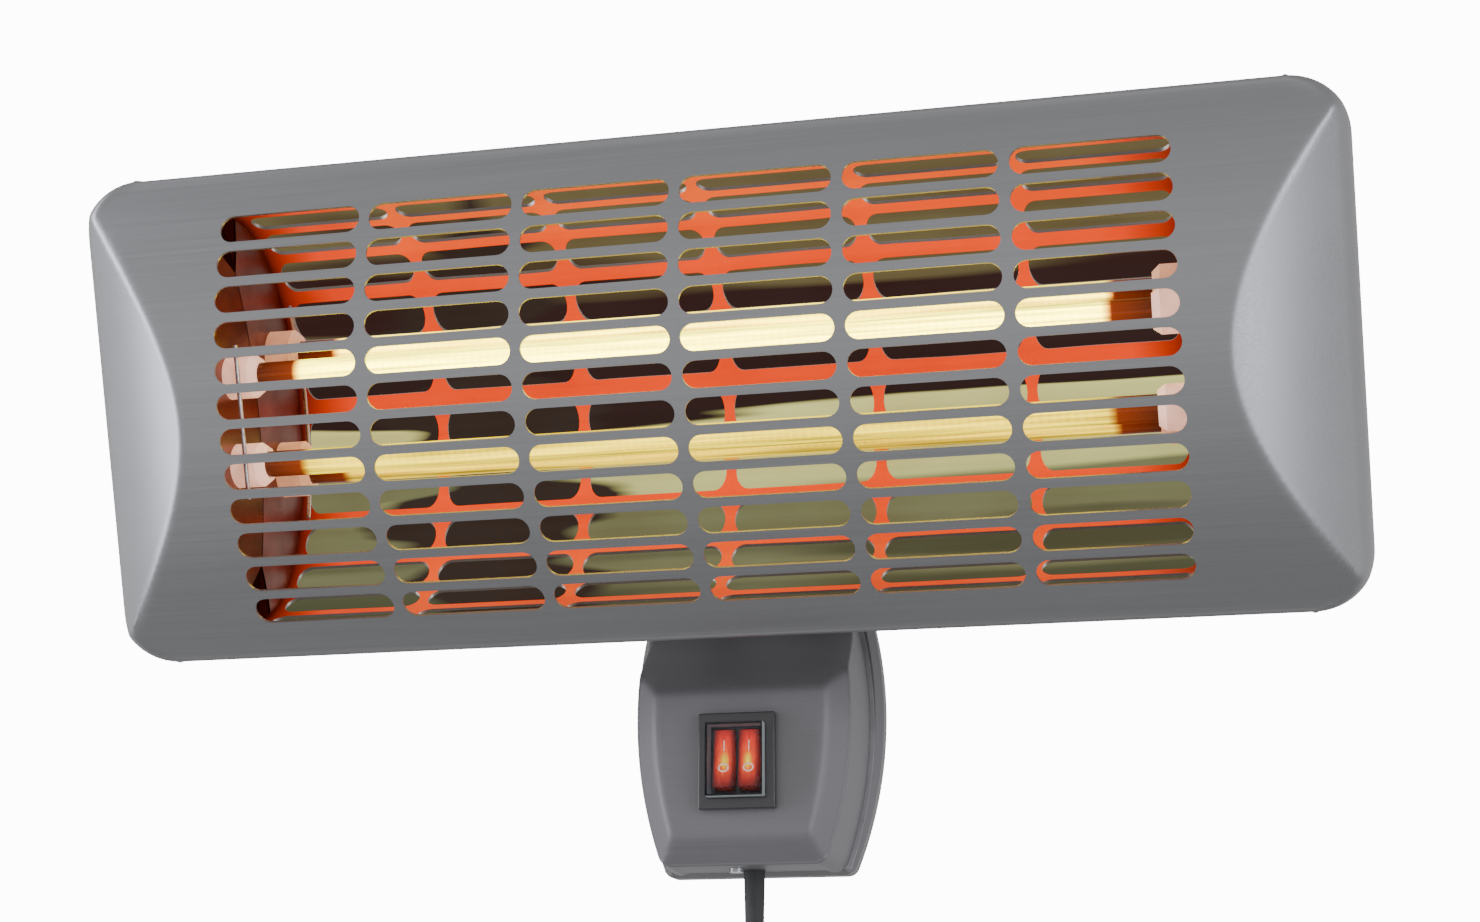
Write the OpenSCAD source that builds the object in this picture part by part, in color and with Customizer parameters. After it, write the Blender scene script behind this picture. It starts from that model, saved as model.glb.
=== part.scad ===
// Wall-mounted quartz bar heater: a tilting head with a slotted front over two heating tubes,
// carried by a hinge on a small wall box with a twin rocker switch and a mains lead.
// Millimetres. The wall is Y = 0, the front looks along -Y, +Z is up, and the origin is the
// centre of the wall screws. Head pieces are drawn in the head's own frame, rim plane at Y = 0.

/* [Head] */
// Width of the head
head_w = 500; // [460:1:560]
// Height of the head along its face
head_h = 197.4; // [190:0.2:215]
// How far the face bulges in front of its rim
bulge = 33.5; // [30:0.5:38]
// Corner radius of the head's outline
head_corner_r = 23; // [12:1:30]
// Depth of the folded side wall behind the rim
skirt_d = 12; // [10:1:16]
// Sheet thickness of the front panel
panel_t = 1; // [0.8:0.1:1.4]
// Distance of the head's rim centre from the wall
head_out = 124; // [118:1:140]
// Height of the head's rim centre over the wall screws
head_up = 115; // [112:1:125]
// Tilt of the head as it stands here, from upright
tilt = 20.5; // [10:0.5:30]

/* [Scooped ends] */
// Distance from the head's end to the innermost point of the scoop
scoop_len = 46.5; // [42:0.5:50]
// Width of the flat flange at the head's end
scoop_flange_w = 8; // [8:1:14]
// Height of that flange over the rim plane
scoop_flange_n = 10.4; // [6:0.2:14]
// Radius of the bend between scoop and flange
scoop_bend_r = 8; // [4:1:9]
// Radius with which the sheet turns back round the head's ends
end_turn_r = 5; // [3:0.5:5]

/* [Grille] */
// Columns of slots
slot_cols = 6; // [4:1:6]
// Rows of slots
slot_rows = 12; // [8:1:12]
// Length of one slot
slot_len = 58.4; // [50:0.2:60]
// Height of one slot
slot_h = 10.3; // [8:0.1:10.6]
// Upright rib between two slots
slot_rib = 4; // [3:0.1:5]
// Bar between two rows
slot_bar = 3.6; // [3:0.1:4.4]

/* [Rear housing] */
// Depth of the housing behind the rim plane
housing_d = 52; // [46:1:56]
// Sheet thickness of the housing
housing_t = 1; // [0.8:0.1:1.4]
// Narrowing of the housing on each end, front to back
housing_taper_x = 40; // [20:1:60]
// Narrowing of the housing at top and bottom, front to back
housing_taper_z = 13; // [8:1:14]
// Screws along each long edge
rim_screw_count = 3; // [2:1:5]
// Shank diameter of the rim screws
rim_screw_d = 3; // [2.5:0.1:4]

/* [Reflector and tubes] */
// How far slots, tubes and reflector sit under the middle of the head
grille_drop = 1.1; // [0:0.1:2]
// Length of the reflector
reflector_len = 376; // [374:1:384]
// Height of the reflector's mouth
reflector_h = 164; // [156:1:168]
// How far its middle lies behind the rim plane
reflector_back = 12; // [8:0.5:14]
// How far its mouth lies in front of the rim plane
reflector_lip = 7.6; // [5:0.2:8]
// Sheet thickness of the reflector and its ends
reflector_t = 0.8; // [0.6:0.1:1.2]
// Outside diameter of a quartz tube
tube_d = 10.4; // [9:0.2:12]
// Wall of a quartz tube
tube_wall = 1; // [0.8:0.1:1.5]
// Distance between the two tubes
tube_pitch = 35.6; // [32:0.2:40]
// Distance of the tubes in front of the rim plane
tube_n = 10.5; // [10:0.5:13]
// Length of the glowing coil
coil_len = 317; // [280:1:330]
// Outside diameter of the heating coil
coil_d = 6.8; // [5:0.2:7.2]
// Diameter of a ceramic end cap
cap_d = 17.6; // [15:0.2:19]
// Length of a ceramic end cap
cap_len = 22; // [22:1:26]
// Length of cap inside the reflector
cap_in = 13; // [12:0.5:15]
// Bevel at both ends of a cap
cap_bevel = 3; // [1:0.5:4]
// Depth to which the tube sits in its cap
cap_grip = 8; // [6:1:10]

/* [Hinge] */
// Pivot distance from the wall
pivot_out = 32; // [30:1:36]
// Pivot height over the wall screws
pivot_up = 78; // [76:1:84]
// Diameter of the pivot bolts
pivot_d = 8; // [6:0.5:10]
// Radius of the round ear ends
ear_r = 10; // [8:0.5:11]
// Thickness of the ears
ear_t = 2.5; // [2:0.1:3]
// Half of the space between the fixed ears
ear_half = 22; // [18:1:24]
// Thickness of the friction washers
washer_t = 1; // [0.8:0.1:1.5]

/* [Wall box] */
// Half width of the box front shell at its widest
box_half = 45; // [42:0.5:50]
// Radius of the bowed sides
box_bow_r = 176; // [140:1:260]
// Depth of the whole box
box_d = 50; // [48:1:56]
// Bottom of the front shell under the origin
box_bottom = 60.5; // [58:0.5:66]
// Top of the front shell over the origin
box_top = 52; // [48:0.5:53]
// Width of the bevel around the flat front
box_bevel = 9.5; // [8:0.5:12]
// Top of the flat front over the origin
front_top = 10; // [6:1:20]
// Wall of the front shell
shell_t = 2.2; // [1.6:0.1:3]
// Depth of the wall plate's tray
plate_d = 12; // [10:1:14]
// How far the wall plate stands out beside the shell
plate_proud = 5; // [3:0.5:7]
// Height of the wall plate
plate_h = 124; // [122:1:132]
// Sheet of the wall plate's floor and rim
plate_t = 2; // [1.5:0.1:3]
// Sideways distance of the wall screws
screw_span_x = 60; // [50:1:66]
// Upright distance of the wall screws
screw_span_z = 84; // [70:1:90]
// Hole for a wall screw
wall_hole_d = 5; // [4:0.5:6]

/* [Switch] */
// Width of the black frame
bezel_w = 31.4; // [30:0.2:34]
// Height of the black frame
bezel_h = 38.6; // [37:0.2:42]
// How far the frame stands out
bezel_d = 4; // [3.5:0.1:5]
// Middle of the switch under the origin
switch_down = 20; // [18:0.5:22]
// Width of the clear cover
cover_w = 23.4; // [22.6:0.2:24]
// Height of the clear cover
cover_h = 29.4; // [28.4:0.2:30]
// How far the clear cover stands out of the box
cover_d = 9.4; // [8.8:0.2:11]
// Width of one rocker
rocker_w = 8.2; // [7.6:0.1:8.8]
// Length of one rocker
rocker_len = 23.4; // [21:0.2:25.4]
// Swing of a rocker to each side
rocker_swing = 8; // [5:0.5:9]

/* [Mains lead] */
// Diameter of the lead
cord_d = 7; // [6:0.1:7.6]
// Distance of the lead from the wall where it leaves the box
cord_out = 19; // [17:0.5:21]
// Length of the tapered strain relief outside the box
relief_len = 22; // [20:1:24]
// Diameter of the plug's body
plug_d = 37; // [34:1:39]
// Length of the plug's body
plug_len = 36; // [32:1:40]
// Diameter of the plug's pins
pin_d = 4.8; // [4:0.1:5]
// Length of the plug's pins
pin_len = 19; // [17:0.5:20]
// Distance between the plug's pins
pin_pitch = 19; // [17:0.5:21]

/* [Hidden] */

$fn = 48;
eps = 0.01;
seat = 0.3;             // gap between neighbours of different bodies
fit = 0.15;             // gap between nested pieces of one body
run = 0.05;             // radial gap of a turning fit

// ---- colours
steel_grey = "#77777b";
dark_steel = "#5c5b5e";
mirror = "#c9c4b4";
ceramic = "#e8e2d8";
black = "#1d1d1f";
zinc = "#b9babd";

// ---- head values
half_w = head_w / 2;
half_h = head_h / 2;
face_r = (half_h * half_h + bulge * bulge) / (2 * bulge);
slot_pitch_x = slot_len + slot_rib;
slot_pitch_z = slot_h + slot_bar;
scoop_apex_x = half_w - scoop_len;
scoop_foot_x = half_w - scoop_flange_w;
scoop_angle = atan2(bulge - scoop_flange_n, scoop_foot_x - scoop_apex_x);
bend_tangent = scoop_bend_r * tan(scoop_angle / 2);
reflector_half = reflector_len / 2;
mouth_half = reflector_h / 2;
trough_sag = reflector_back + reflector_lip;
trough_r = (mouth_half * mouth_half + trough_sag * trough_sag) / (2 * trough_sag);
foot_half = mouth_half * 0.32;  // half height of the end plates' legs and feet
foot_w = 14;
cap_inner_x = reflector_half - cap_in;
cap_outer_x = cap_inner_x + cap_len;
wire_r = 0.9;
end_plate_y = reflector_back + 6;       // the end plates reach this far back
end_plate_back = mouth_half * 0.6;      // half their height there, a gap is left beside the trough
collar_w = 1.5;         // a cap's collar stands out this far and is twice as long
rivet_r = 2;            // rivets of the head's bracket
rivet_hole_r = 2.1;
foot_rivet_r = 1.5;     // rivets of the end plates' feet
foot_hole_r = 1.6;
rivet_end_h = 1.2;      // closing head of a rivet, inside the housing
wire_half = tube_pitch / 2 + cap_d / 2 + 4;
rim_screw_y = skirt_d * 0.55;
rim_head_h = 1.3;       // height of a rim screw's countersunk head
rim_head_r = rim_screw_d * 0.95;
housing_front = 3;      // the housing's collar starts this far behind the rim plane
pan_w = head_w - 2 * (panel_t + fit);
pan_h = head_h - 2 * (panel_t + fit);

// ---- hinge values, the pivot seen from the head's frame
pivot_dy = head_out - pivot_out;
pivot_dz = pivot_up - head_up;
pivot_b = pivot_dy * cos(tilt) + pivot_dz * sin(tilt);
pivot_v = pivot_dz * cos(tilt) - pivot_dy * sin(tilt);
ear_in = ear_half - washer_t - 2 * seat;        // outer face of the head's ears
bracket_screw_r = 2;
bracket_hole_r = 2.2;
head_pole_pitch = 13;   // wires of the head's terminal block
box_pole_pitch = 11;    // wires of the box's terminal block
bracket_v0 = pivot_v - ear_r - 6;
bracket_v1 = pivot_v + ear_r + 16;
grommet_v = bracket_v1 + 22;
grommet_r = 6;
vent_v = half_h - 62;           // one row of vents in the housing's back
vent_count = 9;
vent_pitch = 30;
vent_len = 22;
vent_h = 3;
bolt_head_h = 5;
nut_h = 6.5;

// ---- wall box values
shell_back = plate_d + 1.5;
bow_z = 1;
plate_bow_r = 165;      // the plate's sides bow a little more than the shell's
plate_bow_z = 6;
plate_corner_r = 5;     // round lower corners of the plate
plate_bevel_w = 3;      // bevel on the plate's front rim
plate_bevel_d = 4;
plate_floor_w = plate_bevel_w + plate_t;
flare = (box_d - box_bevel - shell_back) * 0.12;
front_bottom = box_bottom - box_bevel - 1;
knee_up = 36;           // the long bevel above the flat front turns flatter here
knee_back = box_d - (knee_up - front_top);
plate_half_h = plate_h / 2;
bracket_z0 = 34;
switch_z = -switch_down;
body_w = 2 * rocker_w + 5.8;
body_h = rocker_len + 6;
body_d = 20.5;
body_proud = 1.5;
flange_w = cover_w + 2.6;
flange_h = cover_h + 3.6;
rocker_pin_r = 1.4;
rocker_x = rocker_w / 2 + 1;
cavity_d = 4.5;
bezel_pocket = 2.5;
cover_screw_at = [-5.5, -28.5];
cord_hole_r = cord_d / 2 + 2.6;
gasket_out = 1.6;       // the gasket stands this far out beside the shell's edge
clamp_w = 24;           // the lead's clamp in the box
clamp_h = 9;
clamp_z = -51;

// ---- mains lead: points of the route chosen by hand, from the clamp to the coil
cord_route = [[0, -34], [0, -46], [0, -60], [0, -74], [0, -85], [-1.5, -95], [-5.5, -105],
    [-11.5, -113], [-18, -119.5], [-25, -126.5], [-31, -132.5]];
tail_top = -160;
tail_bottom = -196;
wound_at = [0, -cord_out, -165];    // middle of the wound lead
wound_r = 41.5;                 // mean radius of its turns
wound_across = 2;               // turns beside each other along the radius
wound_deep = 3;                 // turns beside each other along the axis
tie_angle = 50;                 // the tie sits here on the ring, up from the right
plug_at = [-wound_r - cord_d / 2, -cord_out - cord_d, tail_bottom];
plug_relief_len = 26;
pin_root_d = pin_d - 1;         // the pins are thinner where the plug's body holds them
pin_root_len = 10;
pin_shoulder = 0.6;             // gap between the plug's face and the full thickness

function unit(v) = v / norm(v);
function tangent(p, i) = unit(p[min(i + 1, len(p) - 1)] - p[max(i - 1, 0)]);

// ---- shared shapes
module on_head() translate([0, -head_out, head_up]) rotate([tilt, 0, 0]) children();
module along_x(len) rotate([90, 0, 90]) linear_extrude(len, center = true) children();
module along_y(y0, y1) translate([0, y1, 0]) rotate([90, 0, 0]) linear_extrude(y1 - y0) children();
module rod_x(r, len, fn = 48) rotate([0, 90, 0]) cylinder(r = r, h = len, center = true, $fn = fn);
module rod_y(r, y0, y1, fn = 48)
    translate([0, y1, 0]) rotate([90, 0, 0]) cylinder(r = r, h = y1 - y0, $fn = fn);

module rounded(w, h, r) {
    square([w - 2 * r, h], center = true);
    square([w, h - 2 * r], center = true);
    for (x = [-1, 1], z = [-1, 1]) translate([x * (w / 2 - r), z * (h / 2 - r)]) circle(r, $fn = 64);
}

module stadium(len, h) {
    square([len - h, h], center = true);
    for (x = [-1, 1]) translate([x * (len - h) / 2, 0]) circle(h / 2, $fn = 32);
}

// A tube swept along points: one polyhedron with a ring of sides at each point
module swept(points, r, sides = 10) {
    rings = [for (i = [0:len(points) - 1])
        let (t = tangent(points, i), u = unit(cross(t, [0, 1, 0.001])), w = cross(t, u))
        for (k = [0:sides - 1]) points[i] + r * (u * cos(360 * k / sides) + w * sin(360 * k / sides))];
    last = (len(points) - 1) * sides;
    faces = concat(
        [[for (k = [0:sides - 1]) k]],
        [[for (k = [0:sides - 1]) last + sides - 1 - k]],
        [for (i = [0:len(points) - 2], k = [0:sides - 1])
            let (a = i * sides + k, b = i * sides + (k + 1) % sides) [a, a + sides, b + sides, b]]);
    polyhedron(rings, faces, convexity = 4);
}

// ---- the head
// Solid under the face, drawn in by the sheet thickness for the hollow
module face_block(inset) difference() {
    intersection() {
        along_y(-bulge - 1, skirt_d + (inset > 0 ? 1 : 0))
            rounded(head_w - 2 * inset, head_h - 2 * inset, head_corner_r - inset);
        translate([0, face_r - bulge, 0]) rod_x(face_r - inset, head_w + 2, 180);
    }
    scoop_half(inset);
    mirror([1, 0, 0]) scoop_half(inset);
}

// What the press takes away at one end: a slope, a hollow bend, the flat flange and its round edge
module scoop_half(inset) {
    foot_y = -scoop_flange_n + inset;
    foot_x = scoop_foot_x - inset * tan(scoop_angle / 2);
    rise = bulge + 6;
    bend = [for (i = [0:6]) let (a = scoop_angle * i / 6)
        [foot_x + bend_tangent - scoop_bend_r * sin(a), foot_y - scoop_bend_r * (1 - cos(a))]];
    turn_r = end_turn_r - inset;
    turn = [for (i = [0:8]) let (a = 90 * i / 8)
        [half_w - end_turn_r + turn_r * cos(a), end_turn_r - scoop_flange_n - turn_r * sin(a)]];
    translate([0, 0, -half_h - 1]) linear_extrude(head_h + 2)
        polygon(concat([[half_w + 2, end_turn_r - scoop_flange_n]], turn, bend,
            [[foot_x - rise / tan(scoop_angle), foot_y - rise], [half_w + 2, foot_y - rise]]));
}

module rim_screw_places()
    for (i = [0:rim_screw_count - 1], side = [-1, 1])
        translate([(i - (rim_screw_count - 1) / 2) * (head_w - 2 * scoop_len - 40) / (rim_screw_count - 1),
            rim_screw_y, side * half_h]) rotate([side > 0 ? 0 : 180, 0, 0]) children();

module slot_place(column, row)
    translate([(column - (slot_cols - 1) / 2) * slot_pitch_x, 0,
        (row - (slot_rows - 1) / 2) * slot_pitch_z - grille_drop]) children();

module front_panel() color(steel_grey) on_head() difference() {
    face_block(0);
    face_block(panel_t);
    for (c = [0:slot_cols - 1], r = [0:slot_rows - 1])
        slot_place(c, r) along_y(-bulge - 1, 0) stadium(slot_len, slot_h);
    rim_screw_places() {
        translate([0, 0, -panel_t - 2]) cylinder(d = rim_screw_d + 0.3, h = panel_t + 3);
        translate([0, 0, -rim_head_h])
            cylinder(r1 = rim_screw_d / 2 + fit, r2 = rim_head_r + fit, h = rim_head_h);
        cylinder(r = rim_head_r + fit, h = 1);
    }
}

// Tapered pan: four sides that lean in from the rim to a flat back, with the head's round corners
function lean(half, taper, y) = half - taper * (y - skirt_d) / (housing_d - skirt_d);

module pan_block(inset, front, back) {
    y0 = front - 2;
    y1 = back + 2;
    side = pan_w / 2 - inset;
    top = pan_h / 2 - inset;
    intersection() {
        along_y(front, back) rounded(2 * side, 2 * top, head_corner_r - panel_t - inset);
        along_x(head_w + 20)
            polygon([[y0, -lean(top, housing_taper_z, y0)], [y0, lean(top, housing_taper_z, y0)],
                [y1, lean(top, housing_taper_z, y1)], [y1, -lean(top, housing_taper_z, y1)]]);
        translate([0, 0, -half_h - 10]) linear_extrude(head_h + 20)
            polygon([[-lean(side, housing_taper_x, y0), y0], [lean(side, housing_taper_x, y0), y0],
                [lean(side, housing_taper_x, y1), y1], [-lean(side, housing_taper_x, y1), y1]]);
    }
}

module head_rivet_places()
    for (x = [-1, 1], v = [bracket_v0 + 5, bracket_v1 - 5])
        translate([x * (ear_in - ear_t - 7), 0, v]) children();

module foot_rivet_places()
    for (side = [-1, 1], z = [-1, 1])
        translate([side * (reflector_half - foot_w / 2), 0, z * (foot_half - 8)]) children();

module rear_housing() color(dark_steel) on_head() difference() {
    pan_block(0, housing_front, housing_d);
    pan_block(housing_t, housing_front - 1, housing_d - housing_t);
    rim_screw_places() translate([0, 0, -14]) cylinder(d = rim_screw_d + 0.3, h = 13);
    head_rivet_places() rod_y(rivet_hole_r, housing_d - 5, housing_d + 5);
    foot_rivet_places() rod_y(foot_hole_r, housing_d - 5, housing_d + 5);
    translate([0, 0, grommet_v]) rod_y(grommet_r, housing_d - 5, housing_d + 5);
    for (i = [0:vent_count - 1]) translate([(i - (vent_count - 1) / 2) * vent_pitch, 0, vent_v])
        along_y(housing_d - 5, housing_d + 5) stadium(vent_len, vent_h);
}

// Countersunk, so that the head's outline stays smooth
module rim_screws() color(zinc) on_head() rim_screw_places() {
    translate([0, 0, -rim_head_h]) cylinder(r1 = rim_screw_d / 2, r2 = rim_head_r, h = rim_head_h - 0.05);
    translate([0, 0, -9]) cylinder(d = rim_screw_d, h = 9 - rim_head_h + eps);
}

// Bent sheet: a shallow arc whose middle lies behind the rim plane
module reflector() color(mirror) on_head() translate([0, 0, -grille_drop]) intersection() {
    translate([0, reflector_back - trough_r, 0]) difference() {
        rod_x(trough_r + reflector_t, reflector_len, 180);
        rod_x(trough_r, reflector_len + 2, 180);
    }
    translate([-reflector_half, -reflector_lip, -mouth_half])
        cube([reflector_len, trough_sag + 2, reflector_h]);
}

// End of the reflector: closes the trough, holds the caps and stands on the housing's back
module reflector_end(side) color("#5a3b35") on_head() translate([0, 0, -grille_drop]) {
    x0 = reflector_half + fit;
    difference() {
        intersection() {
            translate([side * (x0 + reflector_t / 2), 0, 0]) along_x(reflector_t)
                polygon([[-bulge, -mouth_half], [-bulge, mouth_half], [end_plate_y, end_plate_back],
                    [end_plate_y, -end_plate_back]]);
            translate([0, face_r - bulge, grille_drop]) rod_x(face_r - panel_t - 1, head_w, 180);
        }
        for (z = [-1, 1]) translate([side * x0, -tube_n, z * tube_pitch / 2]) rod_x(cap_d / 2 + fit, 10);
    }
    translate([side * (x0 + reflector_t / 2), 0, 0]) along_x(reflector_t)
        polygon([[end_plate_y - 1, -foot_half], [end_plate_y - 1, foot_half],
            [housing_d - housing_t, foot_half], [housing_d - housing_t, -foot_half]]);
    difference() {
        translate([side > 0 ? x0 - foot_w : -x0, housing_d - housing_t - reflector_t, -foot_half])
            cube([foot_w, reflector_t, 2 * foot_half]);
        translate([0, 0, grille_drop]) foot_rivet_places() rod_y(foot_hole_r, housing_d - 5, housing_d + 5);
    }
}
module reflector_end_left() reflector_end(-1);
module reflector_end_right() reflector_end(1);

module reflector_rivets() color(zinc) on_head() foot_rivet_places() {
    inside_y = housing_d - housing_t - reflector_t;
    rod_y(foot_rivet_r, inside_y - rivet_end_h, housing_d + eps);
    rod_y(2 * foot_rivet_r, housing_d, housing_d + 1.2);
    rod_y(1.7 * foot_rivet_r, inside_y - rivet_end_h, inside_y);
}

module at_tube(up) translate([0, -tube_n, up * tube_pitch / 2 - grille_drop]) children();

module quartz_tube(up) color("#f2a25a", 0.6) on_head() at_tube(up) difference() {
    rod_x(tube_d / 2, 2 * (cap_inner_x + cap_grip));
    rod_x(tube_d / 2 - tube_wall, head_w);
}
module upper_quartz_tube() quartz_tube(1);
module lower_quartz_tube() quartz_tube(-1);

// The wound wire is drawn as the sleeve that its turns fill, with straight ends to the caps
module heating_coil(up) color("#ffd86b") on_head() at_tube(up) {
    difference() {
        rod_x(coil_d / 2, coil_len);
        rod_x(coil_d / 2 - 1.2, coil_len - 2);
    }
    for (side = [-1, 1])
        translate([side * (coil_len / 2 + cap_inner_x + cap_grip) / 2, 0, 0])
            rod_x(0.6, cap_inner_x + cap_grip - coil_len / 2 + eps, 16);
}
module upper_heating_coil() heating_coil(1);
module lower_heating_coil() heating_coil(-1);

// Ceramic cap: a round bevelled body, a collar behind the reflector's end and a socket for the tube
module end_cap(side, up) color(ceramic) on_head() at_tube(up) difference() {
    union() {
        translate([side * (cap_inner_x + cap_outer_x) / 2, 0, 0]) rod_x(cap_d / 2, cap_len - 2 * cap_bevel);
        for (end = [-1, 1]) translate([side * (cap_inner_x + cap_outer_x) / 2, 0, 0]) rotate([0, end * 90, 0])
            translate([0, 0, cap_len / 2 - cap_bevel])
                cylinder(r1 = cap_d / 2, r2 = cap_d / 2 - cap_bevel * 0.7, h = cap_bevel);
        translate([side * (reflector_half + reflector_t + 2 * fit + collar_w), 0, 0])
            rod_x(cap_d / 2 + collar_w, 2 * collar_w);
    }
    translate([side * (cap_inner_x + cap_grip / 2 - 0.5), 0, 0]) rod_x(tube_d / 2 + fit, cap_grip + 1 + fit);
    translate([side * cap_outer_x, 0, 0]) rod_x(1.6, 2 * cap_len);
}
module upper_left_cap() end_cap(-1, 1);
module upper_right_cap() end_cap(1, 1);
module lower_left_cap() end_cap(-1, -1);
module lower_right_cap() end_cap(1, -1);

module tube_terminals() color(zinc) on_head() for (side = [-1, 1], up = [-1, 1])
    at_tube(up) translate([side * (cap_outer_x + 1), 0, 0]) {
        rod_x(1.5, 2 * (cap_outer_x - cap_inner_x - cap_grip - fit) - 2);
        translate([side * 5.5, 0, 0]) cube([9, 0.8, 4.8], center = true);
    }

// Sprung wire across the left caps
module tube_support_wire() color(zinc) on_head()
    translate([-cap_inner_x - 6, -tube_n - cap_d / 2 - wire_r - fit, -wire_half - grille_drop])
        cylinder(r = wire_r, h = 2 * wire_half, $fn = 24);

module head_terminal_block() color(ceramic) on_head()
    translate([0, housing_d - housing_t - seat / 2, 18]) difference() {
        translate([-21, -16, -9]) cube([42, 16, 18]);
        for (i = [-1, 0, 1]) translate([i * head_pole_pitch, -8, 0]) cylinder(r = 2.4, h = 30, center = true);
        for (i = [-1, 0, 1]) translate([i * head_pole_pitch, 0, 0]) rod_y(2, -17, -8);
    }

// ---- the hinge
module ear_outline(root_y, root_z0, root_z1, hub_y, hub_z) {
    d = unit([hub_y - root_y, hub_z - (root_z0 + root_z1) / 2]);
    n = [-d[1], d[0]] * ear_r;
    s = d[0] < 0 ? -1 : 1;
    polygon([[root_y, root_z0], [root_y, root_z1], [hub_y, hub_z] + s * n, [hub_y, hub_z] - s * n]);
    translate([hub_y, hub_z]) circle(ear_r, $fn = 64);
}

module head_bracket() color(dark_steel) on_head() {
    plate_y = housing_d + fit;
    difference() {
        union() {
            translate([-ear_in, plate_y, bracket_v0]) cube([2 * ear_in, ear_t, bracket_v1 - bracket_v0]);
            for (side = [-1, 1]) translate([side * (ear_in - ear_t / 2), 0, 0]) along_x(ear_t)
                ear_outline(plate_y, bracket_v0 + 4, pivot_v + ear_r + 4, pivot_b, pivot_v);
        }
        translate([0, pivot_b, pivot_v]) rod_x(pivot_d / 2 + run, 2 * ear_half + 10);
        head_rivet_places() rod_y(rivet_hole_r, housing_d - 5, housing_d + 10);
    }
}

module head_bracket_rivets() color(zinc) on_head() head_rivet_places() {
    inside_y = housing_d - housing_t;
    outside_y = housing_d + fit + ear_t;
    rod_y(rivet_r, inside_y - rivet_end_h, outside_y + eps);
    rod_y(1.8 * rivet_r, inside_y - rivet_end_h, inside_y);
    rod_y(1.9 * rivet_r, outside_y, outside_y + 1.4);
}

module head_lead_grommet() color(black) on_head() translate([0, 0, grommet_v]) difference() {
    union() {
        rod_y(grommet_r - 0.1, housing_d - housing_t - 2, housing_d + 2);
        rod_y(grommet_r + 2, housing_d, housing_d + 2);
        rod_y(grommet_r + 2, housing_d - housing_t - 2, housing_d - housing_t);
    }
    rod_y(grommet_r * 0.6, housing_d - 8, housing_d + 8);
}

module fixed_bracket() color(dark_steel) difference() {
    union() {
        translate([-ear_half - ear_t, -plate_t - ear_t, bracket_z0])
            cube([2 * (ear_half + ear_t), ear_t, pivot_up - bracket_z0]);
        for (side = [-1, 1]) translate([side * (ear_half + ear_t / 2), 0, 0]) along_x(ear_t)
            ear_outline(-plate_t, box_top + 3, pivot_up, -pivot_out, pivot_up);
    }
    translate([0, -pivot_out, pivot_up]) rod_x(pivot_d / 2 + run, 2 * ear_half + 20);
    bracket_screw_places() rod_y(bracket_hole_r, -20, 10);
}

module bracket_screw_places()
    for (x = [-1, 1], z = [bracket_z0 + 5, bracket_z0 + 18])
        translate([x * (ear_half - 9), 0, z]) children();

module bracket_screws() color(zinc) bracket_screw_places() {
    rod_y(bracket_screw_r, -plate_t - ear_t - eps, -0.2);
    rod_y(2 * bracket_screw_r, -plate_t - ear_t - 2.6, -plate_t - ear_t);
}

module pivot_bolt(side) color(zinc) translate([side * (ear_half + ear_t), -pivot_out, pivot_up])
    rotate([0, side * 90, 0]) {
        translate([0, 0, seat / 2]) cylinder(r = pivot_d * 0.82, h = bolt_head_h, $fn = 6);
        translate([0, 0, -3 * ear_t - washer_t - nut_h]) cylinder(d = pivot_d,
            h = 3 * ear_t + washer_t + nut_h + seat);
    }
module pivot_bolt_left() pivot_bolt(-1);
module pivot_bolt_right() pivot_bolt(1);

module pivot_nuts() color(zinc) for (side = [-1, 1])
    translate([side * (ear_in - ear_t - seat), -pivot_out, pivot_up]) rotate([0, -side * 90, 0])
        difference() {
            cylinder(r = pivot_d * 0.82, h = nut_h, $fn = 6);
            translate([0, 0, -1]) cylinder(r = pivot_d / 2 + run, h = nut_h + 2);
        }

module friction_washers() color(black) for (side = [-1, 1])
    translate([side * (ear_in + seat + washer_t / 2), -pivot_out, pivot_up]) difference() {
        rod_x(ear_r - 1, washer_t);
        rod_x(pivot_d / 2 + run, 10);
    }

// ---- the wall box
// Bowed block with sides that flare towards the wall and bevels around the flat front
module box_side(y0, y1, grow0, grow1, bow_r = box_bow_r, middle_z = bow_z)
    intersection() {
        side_cone(y0, y1, grow0, grow1, bow_r, middle_z);
        mirror([1, 0, 0]) side_cone(y0, y1, grow0, grow1, bow_r, middle_z);
    }

module side_cone(y0, y1, grow0, grow1, bow_r, middle_z)
    translate([box_half - bow_r, y1, middle_z]) rotate([90, 0, 0])
        cylinder(r1 = bow_r + grow1, r2 = bow_r + grow0, h = y1 - y0, $fn = 180);

module shell_profile(inset)
    polygon([[1 - shell_back, -box_bottom + inset],
        [-(box_d - box_bevel) + inset * 0.4, -box_bottom + inset],
        [-box_d + inset, -front_bottom + inset * 0.4], [-box_d + inset, front_top - inset * 0.4],
        [-knee_back + inset * 1.2, knee_up - inset * 0.2], [-(shell_back + 6) + inset, box_top - inset],
        [1 - shell_back, box_top - inset]]);

module shell_block(inset) {
    y_edge = -(box_d - box_bevel) + inset * 0.4;
    intersection() {
        along_x(4 * box_half) shell_profile(inset);
        union() {
            box_side(y_edge, 1 - shell_back, -inset, flare - inset);
            box_side(-box_d, y_edge + eps, -box_bevel - inset, -inset);
        }
    }
}

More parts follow.
